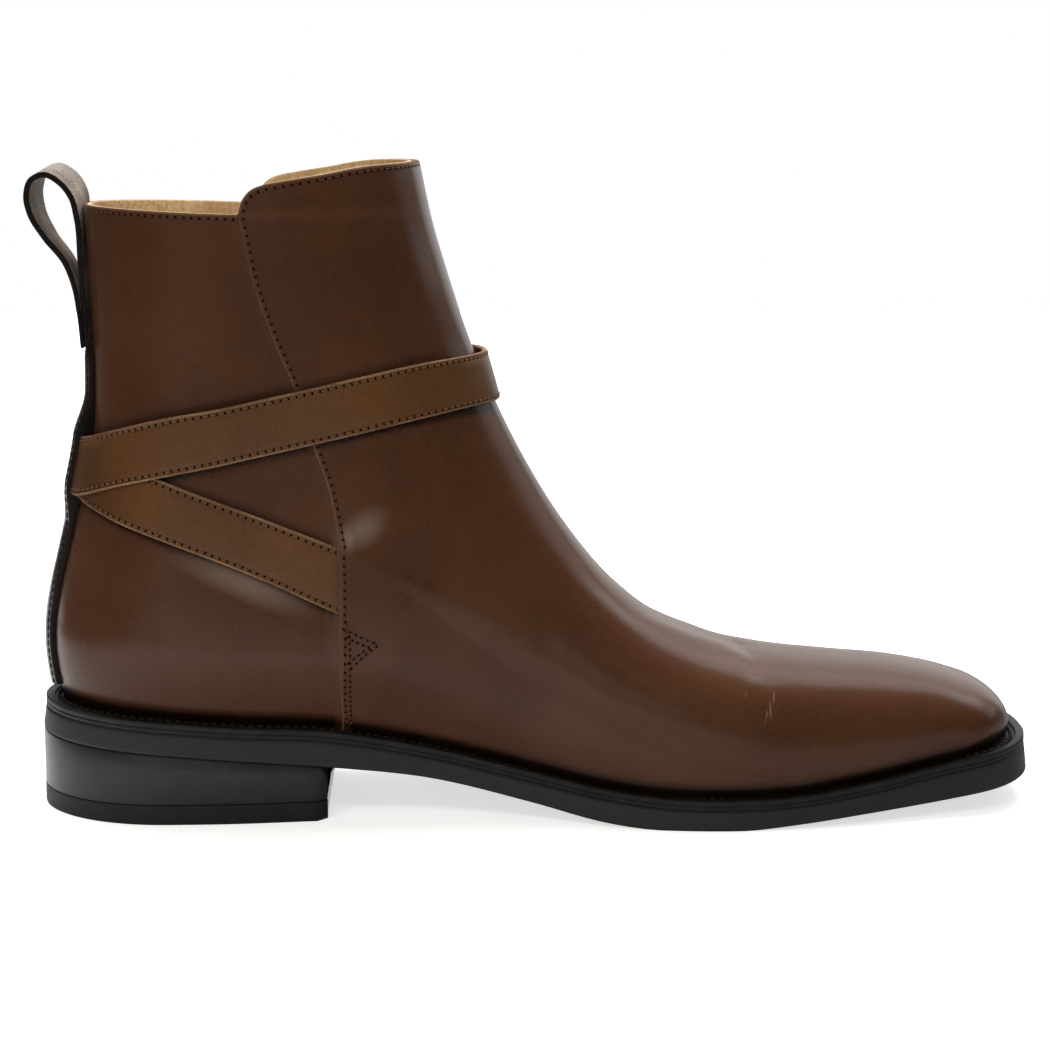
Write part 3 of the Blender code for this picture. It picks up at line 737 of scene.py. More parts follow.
def strap_face(edges, end_x, share, outer):
    """Points on the upper under a strap, at shares of the way from the back to its end."""
    rows = STRAP_ROWS[:, None]
    start, end = edges["x"][0], edges["x"][-1]
    for _ in range(STRAP_END_ROUNDS):
        start = back_x(strap_height(edges, start, rows))
        end = end_x(strap_height(edges, end, rows))
    x = start + (end - start) * share[None]
    z = strap_height(edges, x, rows)
    inner_face, outer_face = upper_face(x, z, -1), upper_face(x, z, 1)
    return np.where(outer[None, :, None], outer_face, inner_face)


def band_normals(face, closed_round):
    """Outward normals of rows of points along a band."""
    if closed_round:
        around = np.roll(face, -1, 1) - np.roll(face, 1, 1)
    else:
        around = np.gradient(face, axis=1)
    return unit(np.cross(np.gradient(face, axis=0), around))


def strap_profile():
    """How far a strap's face stands off a flat one: crowned, and pressed in by its stitching."""
    crown = STRAP_CROWN * (1 - (2 * STRAP_ROWS - 1) ** 2)
    for row in STITCH_ROWS:
        crown = crown - STRAP_PRESS * bump(STRAP_ROWS - STRAP_ROWS[row], PRESS_WIDTH)
    return crown[:, None]


@functools.lru_cache(maxsize=None)
def strap_form(name, thick):
    """Near and far faces of a strap, as rows of points along it."""
    if name == "strap_lower":
        turn = np.linspace(-1.0, 1.0, 2 * STRAP_STEPS + 1)
        share = 1 - np.cos(turn * np.pi / 2)
        face = strap_face(STRAP_LOWER, lambda z: seam_x(z) + LOWER_UNDER_FLAP, share, turn > 0)
        lift = LOWER_GAP - LOWER_SINK * ramp(share, *LOWER_SINK_SHARE)
        lift = np.broadcast_to(lift, face.shape[:2])
    else:
        turn = np.linspace(0.0, 2.0, 2 * STRAP_STEPS, endpoint=False)
        share = (1 - np.cos(turn * np.pi)) / 2
        face = strap_face(STRAP_UPPER, ridge_x, share, turn < 1)
        lift = UPPER_GAP - UPPER_EASE * ramp(share, *STRAP_EASE)
        lift = lift + STRAP_FRONT_STAND * ramp(share, *STRAP_STAND_OFF) * STRAP_ROWS[:, None]
    normal = band_normals(face, name == "strap_upper")
    near = face + normal * lift[..., None]
    far = face + normal * (lift + thick + strap_profile())[..., None]
    return near, far, normal


@functools.lru_cache(maxsize=None)
def stay_form():
    """Near and far faces of the strip down the back, as rows of points from its outer edge."""
    z = np.linspace(STAY_LOW, STAY_HIGH, STAY_STEPS)
    share = np.interp(z, BACK_FINE["z"], np.linspace(0.0, 1.0, FINE))
    line = along(BACK, share)
    run = unit(np.gradient(line, axis=0))
    ahead = np.stack([run[:, 1], -run[:, 0]], -1)
    across = STAY_ROWS * STAY_HALF_WIDTH
    reach = np.interp(z, BACK_FINE["z"], BACK_FINE["reach"])[:, None]
    power = np.interp(z, BACK_FINE["z"], BACK_FINE["power"])[:, None]
    sides = np.where(across > 0, 1, -1)
    breadth = np.stack([full_breadth(line[:, 0], z, side) for side in sides], 1)
    turned = 1 - (1 - (np.abs(across) / breadth) ** power) ** (1 / power)
    places = line[:, None] + ahead[:, None] * (reach * turned)[..., None]
    face = np.stack([places[..., 0], np.broadcast_to(across, turned.shape), places[..., 1]], -1)
    below = ramp(z, KEEPER_LOW - KEEPER_SLOPE, KEEPER_LOW)
    above = ramp(z, KEEPER_HIGH, KEEPER_HIGH + KEEPER_SLOPE)
    lift = (STAY_GAP + KEEPER_RISE * (below - above))[None, :, None]
    rows = face.swapaxes(0, 1)[::-1]
    normal = band_normals(rows, False)
    press = np.zeros(len(STAY_ROWS))
    for row in STAY_STITCH_ROWS:
        press -= STAY_PRESS * bump(STAY_ROWS - STAY_ROWS[row], STAY_PRESS_WIDTH)
    crown = (1 - STAY_ROWS**2)[:, None] * (STAY_CROWN - KEEPER_FLAT * (below - above)) + press[:, None]
    top = ramp(z, STAY_HIGH - STAY_TOP_EASE, STAY_HIGH)
    skive = STAY_THICK - STAY_SKIVE - STAY_TOP_SKIVE * top
    near = rows - normal * STAY_SINK
    far = rows + normal * (lift + skive[None, :, None] + crown[:, :, None])
    return near, far, normal


@functools.lru_cache(maxsize=None)
def loop_form():
    """Both faces of the pull loop, as rows of points along it from its inner edge."""
    share = np.linspace(0.0, 1.0, LOOP_STEPS)
    line = along(PULL_LOOP, share)
    thick = smooth(run_of(PULL_LOOP), PULL_LOOP["thick"], share)[:, None]
    run = unit(np.gradient(line, axis=0))
    side = np.stack([-run[:, 1], run[:, 0]], -1)
    lean = LOOP_LEAN * ramp(line[:, 1], LOOP_LEAN_FROM, PULL_LOOP["z"].max())
    moved = (LOOP_ROWS[:, None] + 1) / 2 * lean
    across = LOOP_ROWS[:, None] * LOOP_HALF_WIDTH
    faces = []
    for way in (-1, 1):
        spot = line + side * way * thick / 2
        x, z = spot[:, 0] + moved, spot[:, 1] + moved
        faces.append(np.stack([x, np.broadcast_to(across, x.shape), z], -1))
    return faces


# Materials.


def add(tree, kind, inputs=None, **settings):
    """Adds one node with its settings, and fills its inputs by value or by link."""
    made = tree.nodes.new("ShaderNode" + kind)
    for name, value in settings.items():
        setattr(made, name, value)
    for key, value in (inputs or {}).items():
        if isinstance(value, bpy.types.NodeSocket):
            tree.links.new(value, made.inputs[key])
        else:
            made.inputs[key].default_value = value
    return made


def start_material(name):
    """An empty material's node tree with its shader, and the piece's own coordinates."""
    material = bpy.data.materials.new(name)
    material.use_nodes = True
    tree = material.node_tree
    shader = tree.nodes["Principled BSDF"]
    spot = add(tree, "TexCoord").outputs["Object"]
    return material, tree, shader, spot


def per_metre(size):
    """Pattern scale for a feature of a size in millimetres."""
    return 1.0 / (size * MM)


def painted_sheen_and_scuffs(tree, spot):
    """How far each place takes the painted sheen by a strap's edge, or the pale of a scuff."""
    total = None
    for centre, half_sizes, lean, strength in PAINTED_SHEEN_AND_SCUFF_SPOTS:
        moved = add(
            tree,
            "Mapping",
            {
                "Vector": spot,
                "Location": tuple(place(centre)),
                "Rotation": (0.0, np.radians(lean), 0.0),
                "Scale": tuple(size * MM for size in half_sizes),
            },
            vector_type="TEXTURE",
        )
        hill = add(tree, "TexGradient", {"Vector": moved.outputs["Vector"]}, gradient_type="SPHERICAL")
        soft = add(
            tree,
            "MapRange",
            {"Value": hill.outputs["Fac"], "To Max": strength},
            interpolation_type="SMOOTHSTEP",
        )
        mark = soft.outputs["Result"]
        if total is not None:
            mark = add(tree, "Math", {0: total, 1: mark}, operation="MAXIMUM").outputs["Value"]
        total = mark
    return total


def polished_calf(name, colour, deep, pale, sheen_and_scuff_colour, roughness, coat):
    """Chrome-tanned calf, dyed and polished: a fine close grain under wax, with cloudy tone.

    The eye gets a dark colour with a soft clear reflection, faint clouds where polish gathers
    and a grain that only shows where light grazes it. The mesh's tone paints shadow near black and
    makes worn rims paler. With a sheen and scuff colour it also gets a painted sheen where the
    straps' edges press the upper, and the upper's scuffs.
    """
    material, tree, shader, spot = start_material(name)
    cloud = add(tree, "TexNoise", {"Vector": spot, "Scale": per_metre(34), "Detail": 4.0, "Roughness": 0.6})
    fleck = add(tree, "TexNoise", {"Vector": spot, "Scale": per_metre(0.8), "Detail": 2.0})
    # Calf pores are about 0.2 mm apart; they are drawn coarser so that they show.
    grain = add(tree, "TexVoronoi", {"Vector": spot, "Scale": per_metre(0.75)}, feature="SMOOTH_F1")
    ripple = add(tree, "TexNoise", {"Vector": spot, "Scale": per_metre(7.0), "Detail": 2.0})
    amount = add(
        tree,
        "MapRange",
        {"Value": cloud.outputs["Fac"], "From Min": 0.36, "From Max": 0.66},
        interpolation_type="SMOOTHSTEP",
    )
    tone = add(tree, "Mix", {0: amount.outputs["Result"], 6: deep, 7: colour}, data_type="RGBA")
    spread = add(
        tree, "MapRange", {"Value": fleck.outputs["Fac"], "From Min": 0.4, "From Max": 0.8, "To Max": 0.3}
    )
    tone = add(tree, "Mix", {0: spread.outputs["Result"], 6: tone.outputs[2], 7: pale}, data_type="RGBA")
    # The tone attribute paints shadow towards near black, and makes worn rims paler.
    shade = add(tree, "Attribute", attribute_name="tone").outputs["Fac"]
    lighter = add(tree, "MapRange", {"Value": shade, "To Max": 0.8})
    tone = add(tree, "Mix", {0: lighter.outputs["Result"], 6: tone.outputs[2], 7: pale}, data_type="RGBA")
    darker = add(tree, "MapRange", {"Value": shade, "From Min": 0.0, "From Max": -1.0, "To Max": 0.95})
    # Near black of the painted shadow.
    black = tuple(channel * 0.04 for channel in deep[:3]) + (1.0,)
    tone = add(tree, "Mix", {0: darker.outputs["Result"], 6: tone.outputs[2], 7: black}, data_type="RGBA")
    # Painted sheen where the straps' edges press the upper, and the fine scuffs on the ball of the foot.
    if sheen_and_scuff_colour:
        tone = add(tree, "Mix", {0: painted_sheen_and_scuffs(tree, spot), 6: tone.outputs[2], 7: sheen_and_scuff_colour}, data_type="RGBA")
    rough = add(
        tree,
        "MapRange",
        {"Value": cloud.outputs["Fac"], "To Min": roughness + 0.07, "To Max": roughness - 0.05},
    )
    low = add(
        tree,
        "Bump",
        {"Height": ripple.outputs["Fac"], "Strength": 0.25, "Distance": 0.2 * MM},
    )
    fine = add(
        tree,
        "Bump",
        {
            "Height": grain.outputs["Distance"],
            "Strength": 0.3,
            "Distance": 0.06 * MM,
            "Normal": low.outputs["Normal"],
        },
    )
    tree.links.new(tone.outputs[2], shader.inputs["Base Color"])
    tree.links.new(rough.outputs["Result"], shader.inputs["Roughness"])
    tree.links.new(fine.outputs["Normal"], shader.inputs["Normal"])
    tree.links.new(low.outputs["Normal"], shader.inputs["Coat Normal"])
    shader.inputs["IOR"].default_value = 1.4
    shader.inputs["Coat Weight"].default_value = coat
    shader.inputs["Coat Roughness"].default_value = 0.14
    return material


def plain_leather(name, colour, deep, grain_size, roughness, relief):
    """Unpolished leather: lining skin, raw cut edge, or the pull loop's flesh side, made pale as a painted
    sheen.

    The eye gets a matt, slightly speckled colour with visible fibre or grain and no reflection.
    """
    material, tree, shader, spot = start_material(name)
    fibre = add(tree, "TexNoise", {"Vector": spot, "Scale": per_metre(grain_size), "Detail": 5.0})
    cloud = add(tree, "TexNoise", {"Vector": spot, "Scale": per_metre(18), "Detail": 3.0})
    blend = add(
        tree,
        "Math",
        {0: fibre.outputs["Fac"], 1: cloud.outputs["Fac"]},
        operation="MULTIPLY",
    )
    amount = add(tree, "MapRange", {"Value": blend.outputs["Value"], "From Min": 0.12, "From Max": 0.4})
    tone = add(tree, "Mix", {0: amount.outputs["Result"], 6: deep, 7: colour}, data_type="RGBA")
    raised = add(
        tree,
        "Bump",
        {"Height": fibre.outputs["Fac"], "Strength": 0.6, "Distance": relief * MM},
    )
    tree.links.new(tone.outputs[2], shader.inputs["Base Color"])
    tree.links.new(raised.outputs["Normal"], shader.inputs["Normal"])
    shader.inputs["Roughness"].default_value = roughness
    shader.inputs["IOR"].default_value = 1.45
    shader.inputs["Specular IOR Level"].default_value = 0.35
    return material


def waxed_edge(name, colour, pale, roughness, coat, streak):
    """Sole leather or rubber edge, inked black and waxed.

    The eye gets a near-black satin with faint lengthwise streaks from the edge iron.
    """
    material, tree, shader, spot = start_material(name)
    stretched = add(tree, "Mapping", {"Vector": spot, "Scale": (0.12, 0.12, 1.0)})
    lines = add(
        tree,
        "TexNoise",
        {"Vector": stretched.outputs["Vector"], "Scale": per_metre(streak), "Detail": 4.0},
    )
    dust = add(tree, "TexNoise", {"Vector": spot, "Scale": per_metre(5.0), "Detail": 6.0, "Roughness": 0.7})
    amount = add(
        tree,
        "MapRange",
        {"Value": dust.outputs["Fac"], "From Min": 0.45, "From Max": 0.8, "To Max": 0.6},
    )
    tone = add(tree, "Mix", {0: amount.outputs["Result"], 6: colour, 7: pale}, data_type="RGBA")
    rough = add(
        tree,
        "MapRange",
        {"Value": lines.outputs["Fac"], "To Min": roughness - 0.08, "To Max": roughness + 0.1},
    )
    raised = add(tree, "Bump", {"Height": lines.outputs["Fac"], "Strength": 0.4, "Distance": 0.12 * MM})
    tree.links.new(tone.outputs[2], shader.inputs["Base Color"])
    tree.links.new(rough.outputs["Result"], shader.inputs["Roughness"])
    tree.links.new(raised.outputs["Normal"], shader.inputs["Normal"])
    shader.inputs["IOR"].default_value = 1.5
    shader.inputs["Coat Weight"].default_value = coat
    shader.inputs["Coat Roughness"].default_value = 0.2
    return material


def waxed_thread(name, colour, deep, gloss):
    """Twisted linen thread drawn through wax, or with no deep colour the near black painted as the shade of
    the hole that it fills.

    The eye gets a dull sheen with a fine twist along each stitch.
    """
    material, tree, shader, spot = start_material(name)
    twist = add(tree, "TexNoise", {"Vector": spot, "Scale": per_metre(0.5), "Detail": 2.0})
    raised = add(tree, "Bump", {"Height": twist.outputs["Fac"], "Strength": 0.5, "Distance": 0.1 * MM})
    if deep:
        tone = add(tree, "Mix", {0: twist.outputs["Fac"], 6: deep, 7: colour}, data_type="RGBA")
        tree.links.new(tone.outputs[2], shader.inputs["Base Color"])
    else:
        shader.inputs["Base Color"].default_value = colour
    tree.links.new(raised.outputs["Normal"], shader.inputs["Normal"])
    shader.inputs["Roughness"].default_value = 0.5
    shader.inputs["Specular IOR Level"].default_value = gloss
    return material


def pale_floor(name, colour, painted_shade_colour, glow):
    """Matt studio table: a pale ground with no reflection and, where asked, a glow of its own.

    The eye gets an even colour, or with a shade colour a painted shade that turns from the white to it
    towards the toe.
    """
    material, tree, shader, spot = start_material(name)
    speck = add(tree, "TexNoise", {"Vector": spot, "Scale": per_metre(40.0), "Detail": 2.0})
    rough = add(tree, "MapRange", {"Value": speck.outputs["Fac"], "To Min": 0.8, "To Max": 0.95})
    tree.links.new(rough.outputs["Result"], shader.inputs["Roughness"])
    if painted_shade_colour:
        # Painted light and shade on the reflected table: the white on the heel's side turns to the grey
        # towards the toe.
        across = add(tree, "SeparateXYZ", {"Vector": spot}).outputs["X"]
        fade = add(tree, "MapRange", {"Value": across, "From Min": TABLE_PAINTED_SHADE_FADE[0], "From Max": TABLE_PAINTED_SHADE_FADE[1]})
        tone = add(tree, "Mix", {0: fade.outputs["Result"], 6: colour, 7: painted_shade_colour}, data_type="RGBA")
        tree.links.new(tone.outputs[2], shader.inputs["Base Color"])
    else:
        shader.inputs["Base Color"].default_value = colour
    shader.inputs["Specular IOR Level"].default_value = 0.0
    shader.inputs["Emission Color"].default_value = colour
    shader.inputs["Emission Strength"].default_value = glow
    return material


# Finishes: maker, name of the material, its colours, and the maker's other values.
FINISHES = {
    "calf": (polished_calf, "polished_calf", ("calf", "calf_deep", "calf_pale", "painted_sheen_and_scuffs"), (0.25, 0.06)),
    "strap": (polished_calf, "strap_calf", ("strap", "strap_deep", "strap_pale", None), (0.36, 0.0)),
    "trim": (polished_calf, "trim_calf", ("trim", "trim", "calf", None), (0.28, 0.3)),
    "edge": (plain_leather, "cut_calf_edge", ("edge", "calf_pale"), (0.6, 0.6, 0.05)),
    "flap_edge": (plain_leather, "dyed_calf_edge", ("flap_edge", "calf"), (0.6, 0.6, 0.05)),
    "trim_edge": (plain_leather, "inked_calf_edge", ("trim", "trim_edge"), (0.6, 0.5, 0.05)),
    "lining": (plain_leather, "lining_leather", ("lining", "lining_deep"), (1.2, 0.6, 0.12)),
    # The pull loop's flesh side, painted pale grey as a sheen of grazing light as well.
    "suede": (plain_leather, "suede_back", ("suede", "calf"), (0.5, 0.85, 0.1)),
    "sole": (waxed_edge, "waxed_sole_edge", ("sole", "sole_pale"), (0.34, 0.4, 0.8)),
    "rubber": (waxed_edge, "sole_rubber", ("sole", "sole_pale"), (0.5, 0.0, 1.5)),
    "outsole": (waxed_edge, "outsole_edge", ("sole_side", "sole_pale"), (0.5, 0.0, 1.5)),
    "welt": (waxed_edge, "waxed_welt", ("sole", "sole_side"), (0.5, 0.0, 0.8)),
    "thread": (waxed_thread, "waxed_thread", ("thread", "calf"), (0.3,)),
    "strap_thread": (waxed_thread, "strap_thread", ("strap_thread", "strap"), (0.4,)),
    "welt_thread": (waxed_thread, "welt_thread", ("welt_thread", "sole"), (0.3,)),
    # Needle holes are plugs painted near black, as the shade inside them.
    "hole": (waxed_thread, "needle_hole", ("ink", None), (0.0,)),
    "floor": (pale_floor, "studio_table", ("floor", None), (0.75,)),
    # The reflected table with a painted shade, grey towards the toe.
    "floor_painted_shade": (pale_floor, "reflected_table", ("floor", "floor_painted_shade"), (0.0,)),
}


@functools.lru_cache(maxsize=None)
def finish(name):
    """The material of one of the boot's finishes, made once from the colours in the panel."""
    maker, material, colours, values = FINISHES[name]
    hues = bpy.context.scene.boot_colours
    chosen = [(*getattr(hues, colour), 1.0) if colour else None for colour in colours]
    return maker(material, *chosen, *values)


# Thread.


def resample(points, pitch):
    """Points at an even pitch along a line of points, with any columns after their place."""
    lengths = np.linalg.norm(np.diff(points[:, :3], axis=0), axis=1)
    run = np.concatenate([[0.0], np.cumsum(lengths)])
    places = np.linspace(0.0, run[-1], max(int(round(run[-1] / pitch)), 1) + 1)
    return np.stack([np.interp(places, run, points[:, i]) for i in range(points.shape[1])], -1)


def stitch_tubes(holes, normals, radius, first):
    """Threads from hole to hole, each a small arched tube with its ends in the leather."""
    shares = np.array([0.0, 0.18, 0.5, 0.82, 1.0])
    rise = np.array([-1.3, 0.25, 0.6, 0.25, -1.3]) * radius
    girth = np.array([0.6, 0.95, 1.05, 0.95, 0.6]) * radius
    angle = np.linspace(0, 2 * np.pi, THREAD_SIDES, endpoint=False)
    start, end = holes[:-1], holes[1:]
    run = end - start
    up = unit(normals[:-1] + normals[1:])
    across = unit(np.cross(run, up))
    spine = start[:, None] + run[:, None] * shares[:, None] + up[:, None] * rise[:, None]
    ring = across[:, None] * np.cos(angle)[:, None] + up[:, None] * np.sin(angle)[:, None]
    points = spine[:, :, None] + ring[:, None] * girth[:, None, None]
    faces = []
    size = len(shares) * len(angle)
    one = grid_faces(len(shares), len(angle), True, first).tolist()
    one.append(list(range(first, first + len(angle))))
    one.append(list(range(first + size - len(angle), first + size)))
    for i in range(len(start)):
        faces += [[c + i * size for c in face] for face in one]
    return points.reshape(-1, 3), faces


def needle_holes(holes, normals, runs, radius, first):
    """Plugs painted near black as the shade in each needle hole: a flat top just proud, coming to a point
    below.
    """
    angle = np.linspace(0, 2 * np.pi, HOLE_SIDES, endpoint=False)
    across = unit(np.cross(runs, normals))
    way = unit(np.cross(normals, across))
    ring = across[:, None] * np.cos(angle)[:, None] + way[:, None] * np.sin(angle)[:, None]
    ring = ring + way[:, None] * np.sin(angle)[:, None] * HOLE_STRETCH
    rim = holes[:, None] + ring * radius + normals[:, None] * HOLE_PROUD
    tip = (holes - normals * HOLE_DEPTH)[:, None]
    points = np.concatenate([rim, tip], 1)
    faces = []
    for i in range(len(holes)):
        at = first + i * (HOLE_SIDES + 1)
        faces.append([at + k for k in range(HOLE_SIDES)])
        faces += [[at + k, at + (k + 1) % HOLE_SIDES, at + HOLE_SIDES] for k in range(HOLE_SIDES)]
    return points.reshape(-1, 3), faces


def sew(name, rows, sizes, thread):
    """One piece that holds every stitch of some rows, each a line of holes with its normals."""
    radius, hole_radius = sizes
    points, faces, marks = [], [], []
    count = 0
    for holes, normals in rows:
        tubes = stitch_tubes(holes, normals, radius, count)
        count += len(tubes[0])
        plugs = needle_holes(holes, normals, np.gradient(holes, axis=0), hole_radius, count)
        count += len(plugs[0])
        for mark, (spots, corners) in enumerate((tubes, plugs)):
            points.append(spots)
            faces += corners
            marks += [mark] * len(corners)
    solid(name, np.concatenate(points), faces, marks, [finish(thread), finish("hole")], ())


def on_surface(tree, line):
    """A line of points on the last drawn onto a piece's outside, with the normals there."""
    rings, outward = (grid.reshape(-1, 3) for grid in upper_form())
    near = [np.linalg.norm(rings - point, axis=1).argmin() for point in line]
    line = line + outward[near] * ROW_PUSH
    spots, normals = [], []
    for point in place(line):
        spot, normal, _, _ = tree.find_nearest(Vector(point))
        if spot is None:
            raise RuntimeError("a stitch row found no leather under it")
        spots.append(np.array(spot) / MM + ORIGIN)
        normals.append(np.array(normal))
    return np.array(spots), np.array(normals)


def surface_tree(name):
    """Search tree of a dressed piece."""
    mesh = bpy.data.objects[name].data
    points = [v.co.copy() for v in mesh.vertices]
    return BVHTree.FromPolygons(points, [tuple(p.vertices) for p in mesh.polygons])


def offset_line(line, distance):
    """A side-view line moved to the right of its way along."""
    run = unit(np.gradient(line, axis=0))
    return line + np.stack([run[:, 1], -run[:, 0]], -1) * distance


def band_rows(far, normal, rows, pitch, raised, closed_round):
    """Stitch rows along a band: the holes of each, and the normals there."""
    sewn = []
    for row in rows:
        joined = np.concatenate([far[row] + normal[row] * raised, normal[row]], -1)
        if closed_round:
            joined = np.concatenate([joined, joined[:1]])
        spaced = resample(joined, pitch)
        sewn.append((spaced[:, :3], unit(spaced[:, 3:])))
    return sewn


def length(name, description, size):
    """A size property with its default in millimetres."""
    return bpy.props.FloatProperty(name=name, description=description, default=size * MM, unit="LENGTH")


class BootSizes(bpy.types.PropertyGroup):
    """Sizes of the boot's leather and thread."""

    leather: length("Leather", "Thickness of the upper leather", 0.9)
    wall: length("Wall", "Thickness of leather and lining together", 2.2)
    flap_step: length("Flap step", "Height of the flap's edge over the quarter", 1.3)
    strap: length("Strap", "Thickness of the straps", 1.5)
    stitch: length("Stitch", "Pitch of the stitches on the upper", 2.4)
    strap_stitch: length("Strap stitch", "Pitch of the stitches on straps and stay", 2.35)
    welt_stitch: length("Welt stitch", "Pitch of the stitches on the welt", 2.7)
    row_inset: length("Row inset", "Distance of a stitch row from its edge", 1.4)


def hue(name, description, colour):
    """A colour property with its default as sRGB hex."""
    return bpy.props.FloatVectorProperty(
        name=name, description=description, subtype="COLOR", min=0.0, max=1.0, default=linear(colour)[:3]
    )


class BootColours(bpy.types.PropertyGroup):
    """Colours of the boot's materials and of the floor."""

    calf: hue("Calf", "Brown of the polished upper", "#5b3924")
    calf_deep: hue("Calf, deep", "Darker clouds in the brown", "#52311e")
    calf_pale: hue("Calf, pale", "Lighter flecks in the brown", "#6b4733")
    # Pale colour of the painted sheen by the straps' edges, and of the scuffs.
    painted_sheen_and_scuffs: hue("Painted sheen, scuffs", "Grey brown of the painted sheen by the straps, and of scuffs", "#b59f8d")
    strap: hue("Strap", "Olive brown of the straps", "#6e4726")
    strap_deep: hue("Strap, deep", "Darker clouds in the straps", "#623d20")
    strap_pale: hue("Strap, pale", "Lighter flecks and worn rims of the straps", "#84603e")
    flap_edge: hue("Flap edge", "Brown of the flap's dyed edge", "#86634a")
    trim: hue("Trim", "Dark brown of the back stay and loop", "#241812")
    trim_edge: hue("Trim edge", "Near black of inked edges", "#0f0b09")
    edge: hue("Cut edge", "Tan of the cut leather edges", "#b8926c")
    lining: hue("Lining", "Golden tan of the lining", "#f8dfb0")
    lining_deep: hue("Lining, deep", "Darker specks in the lining", "#c79f70")
    # Pale grey for the loop's flesh side and for a painted sheen of grazing light on it.
    suede: hue("Suede", "Pale grey brown of the loop's flesh side, with painted sheen", "#d3cec4")
    thread: hue("Thread", "Brown of the upper's thread", "#6e4731")
    strap_thread: hue("Strap thread", "Tan of the straps' thread", "#86623f")
    welt_thread: hue("Welt thread", "Dark brown of the thread on welt and back stay", "#35302a")
    # Near black painted as the shade inside the needle holes.
    ink: hue("Ink", "Black of needle holes", "#0b0a09")
    sole: hue("Sole", "Black of the inked sole edges", "#181715")
    sole_side: hue("Sole, side", "Black of the outsole's side, a little greyer", "#32302d")
    sole_pale: hue("Sole, pale", "Dust and wear on the sole edges", "#2c2a28")
    floor: hue("Floor", "White of the studio table", "#f0f0ee")
    # Grey of the reflected table's painted shade towards the toe.
    floor_painted_shade: hue("Floor, grey", "Grey of the reflected table towards the toe", "#9a9a98")


class BOOT_OT_upper(bpy.types.Operator):
    """Makes the vamp with its flap, and the two quarters that run under its edges"""

    bl_idname = "boot.upper"
    bl_label = "Vamp and quarters"

    def execute(self, context):
        sizes = context.scene.boot_sizes
        leather, step = sizes.leather / MM, sizes.flap_step / MM
        rings, normals = upper_form()
        count = rings.shape[1]
        seam = QUARTER_COLUMNS - 1
        front = np.arange(seam, count - seam + 1)
        under = seam + UNDERLAP_COLUMNS
        rear = np.arange(-under, under + 1) % count
        finishes = [finish("calf"), finish("flap_edge")]
        for name, columns, rise in (("vamp", front, step), ("quarters", rear, 0.0)):
            outside = rings[:, columns] + normals[:, columns] * rise
            inside = rings[:, columns] - normals[:, columns] * leather
            nodes = ("upper",) if name == "vamp" else ()
            leaf(name, outside, inside, finishes, nodes, False, UPPER_ROUND, upper_tone)
        return {"FINISHED"}


class BOOT_OT_lining(bpy.types.Operator):
    """Makes the lining inside the shaft, and gives the insole its leather"""

    bl_idname = "boot.lining"
    bl_label = "Lining and insole"

    def execute(self, context):
        sizes = context.scene.boot_sizes
        rings, normals = upper_form()
        outside = rings[::2, ::2] - normals[::2, ::2] * (sizes.leather / MM + LINING_GAP)
        inside = rings[::2, ::2] - normals[::2, ::2] * (sizes.wall / MM)
        if (len(rings) - 1) % 2:
            raise RuntimeError("the lining would miss the collar's last ring")
        leaf("lining", outside, inside, [finish("lining")] * 2, (), True)
        for material_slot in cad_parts["insole"].material_slots:
            material_slot.material = finish("lining")
        return {"FINISHED"}


class BOOT_OT_straps(bpy.types.Operator):
    """Makes the lower strap from seam to seam round the back, and the upper one all the way round"""

    bl_idname = "boot.straps"
    bl_label = "Straps"

    def execute(self, context):
        thick = context.scene.boot_sizes.strap / MM
        for name in ("strap_lower", "strap_upper"):
            near, far, _ = strap_form(name, thick)
            closed = name == "strap_upper"
            finishes = [finish("strap"), finish("edge")]
            tone = strap_tone(STRAP_UPPER if closed else STRAP_LOWER)
            leaf(name + "_leather", far, near, finishes, (name,), closed, STRAP_ROUND, tone)
        return {"FINISHED"}


class BOOT_OT_back_stay(bpy.types.Operator):
    """Makes the strip down the back that holds both straps"""

    bl_idname = "boot.back_stay"
    bl_label = "Back stay"

    def execute(self, context):
        near, far, _ = stay_form()
        finishes = [finish("trim"), finish("trim_edge")]
        leaf("back_stay_leather", far, near, finishes, ("back_stay",), False, STAY_ROUND)
        return {"FINISHED"}


class BOOT_OT_pull_loop(bpy.types.Operator):
    """Makes the loop at the back of the collar"""

    bl_idname = "boot.pull_loop"
    bl_label = "Pull loop"

    def execute(self, context):
        low, high = loop_form()
        # The loop's faces are painted pale grey: its flesh side, and a painted sheen of grazing light.
        finishes = [finish("suede"), finish("trim_edge")]
        leaf("pull_loop_leather", low, high, finishes, ("pull_loop",), False, LOOP_ROUND)
        return {"FINISHED"}


class BOOT_OT_sole(bpy.types.Operator):
    """Makes the outsole and the welt with its stitch channel"""

    bl_idname = "boot.sole"
    bl_label = "Outsole and welt"

    def execute(self, context):
        top = -WELT_THICK - LAYER_GAP
        outsole = [sole_layer(inset, sole_top, top + rise) for inset, rise in OUTSOLE_OVER_TOP]
        outsole += [sole_layer(inset, sole_tread, rise) for inset, rise in OUTSOLE_OVER_TREAD]
        stack("outsole_edge", outsole, [finish("outsole")], ("outsole",))
        welt = [sole_layer(inset, sole_top, rise) for inset, rise in WELT_OVER_TOP]
        stack("welt_ledge", welt, [finish("welt")], ("welt",), closed_over=True)
        return {"FINISHED"}


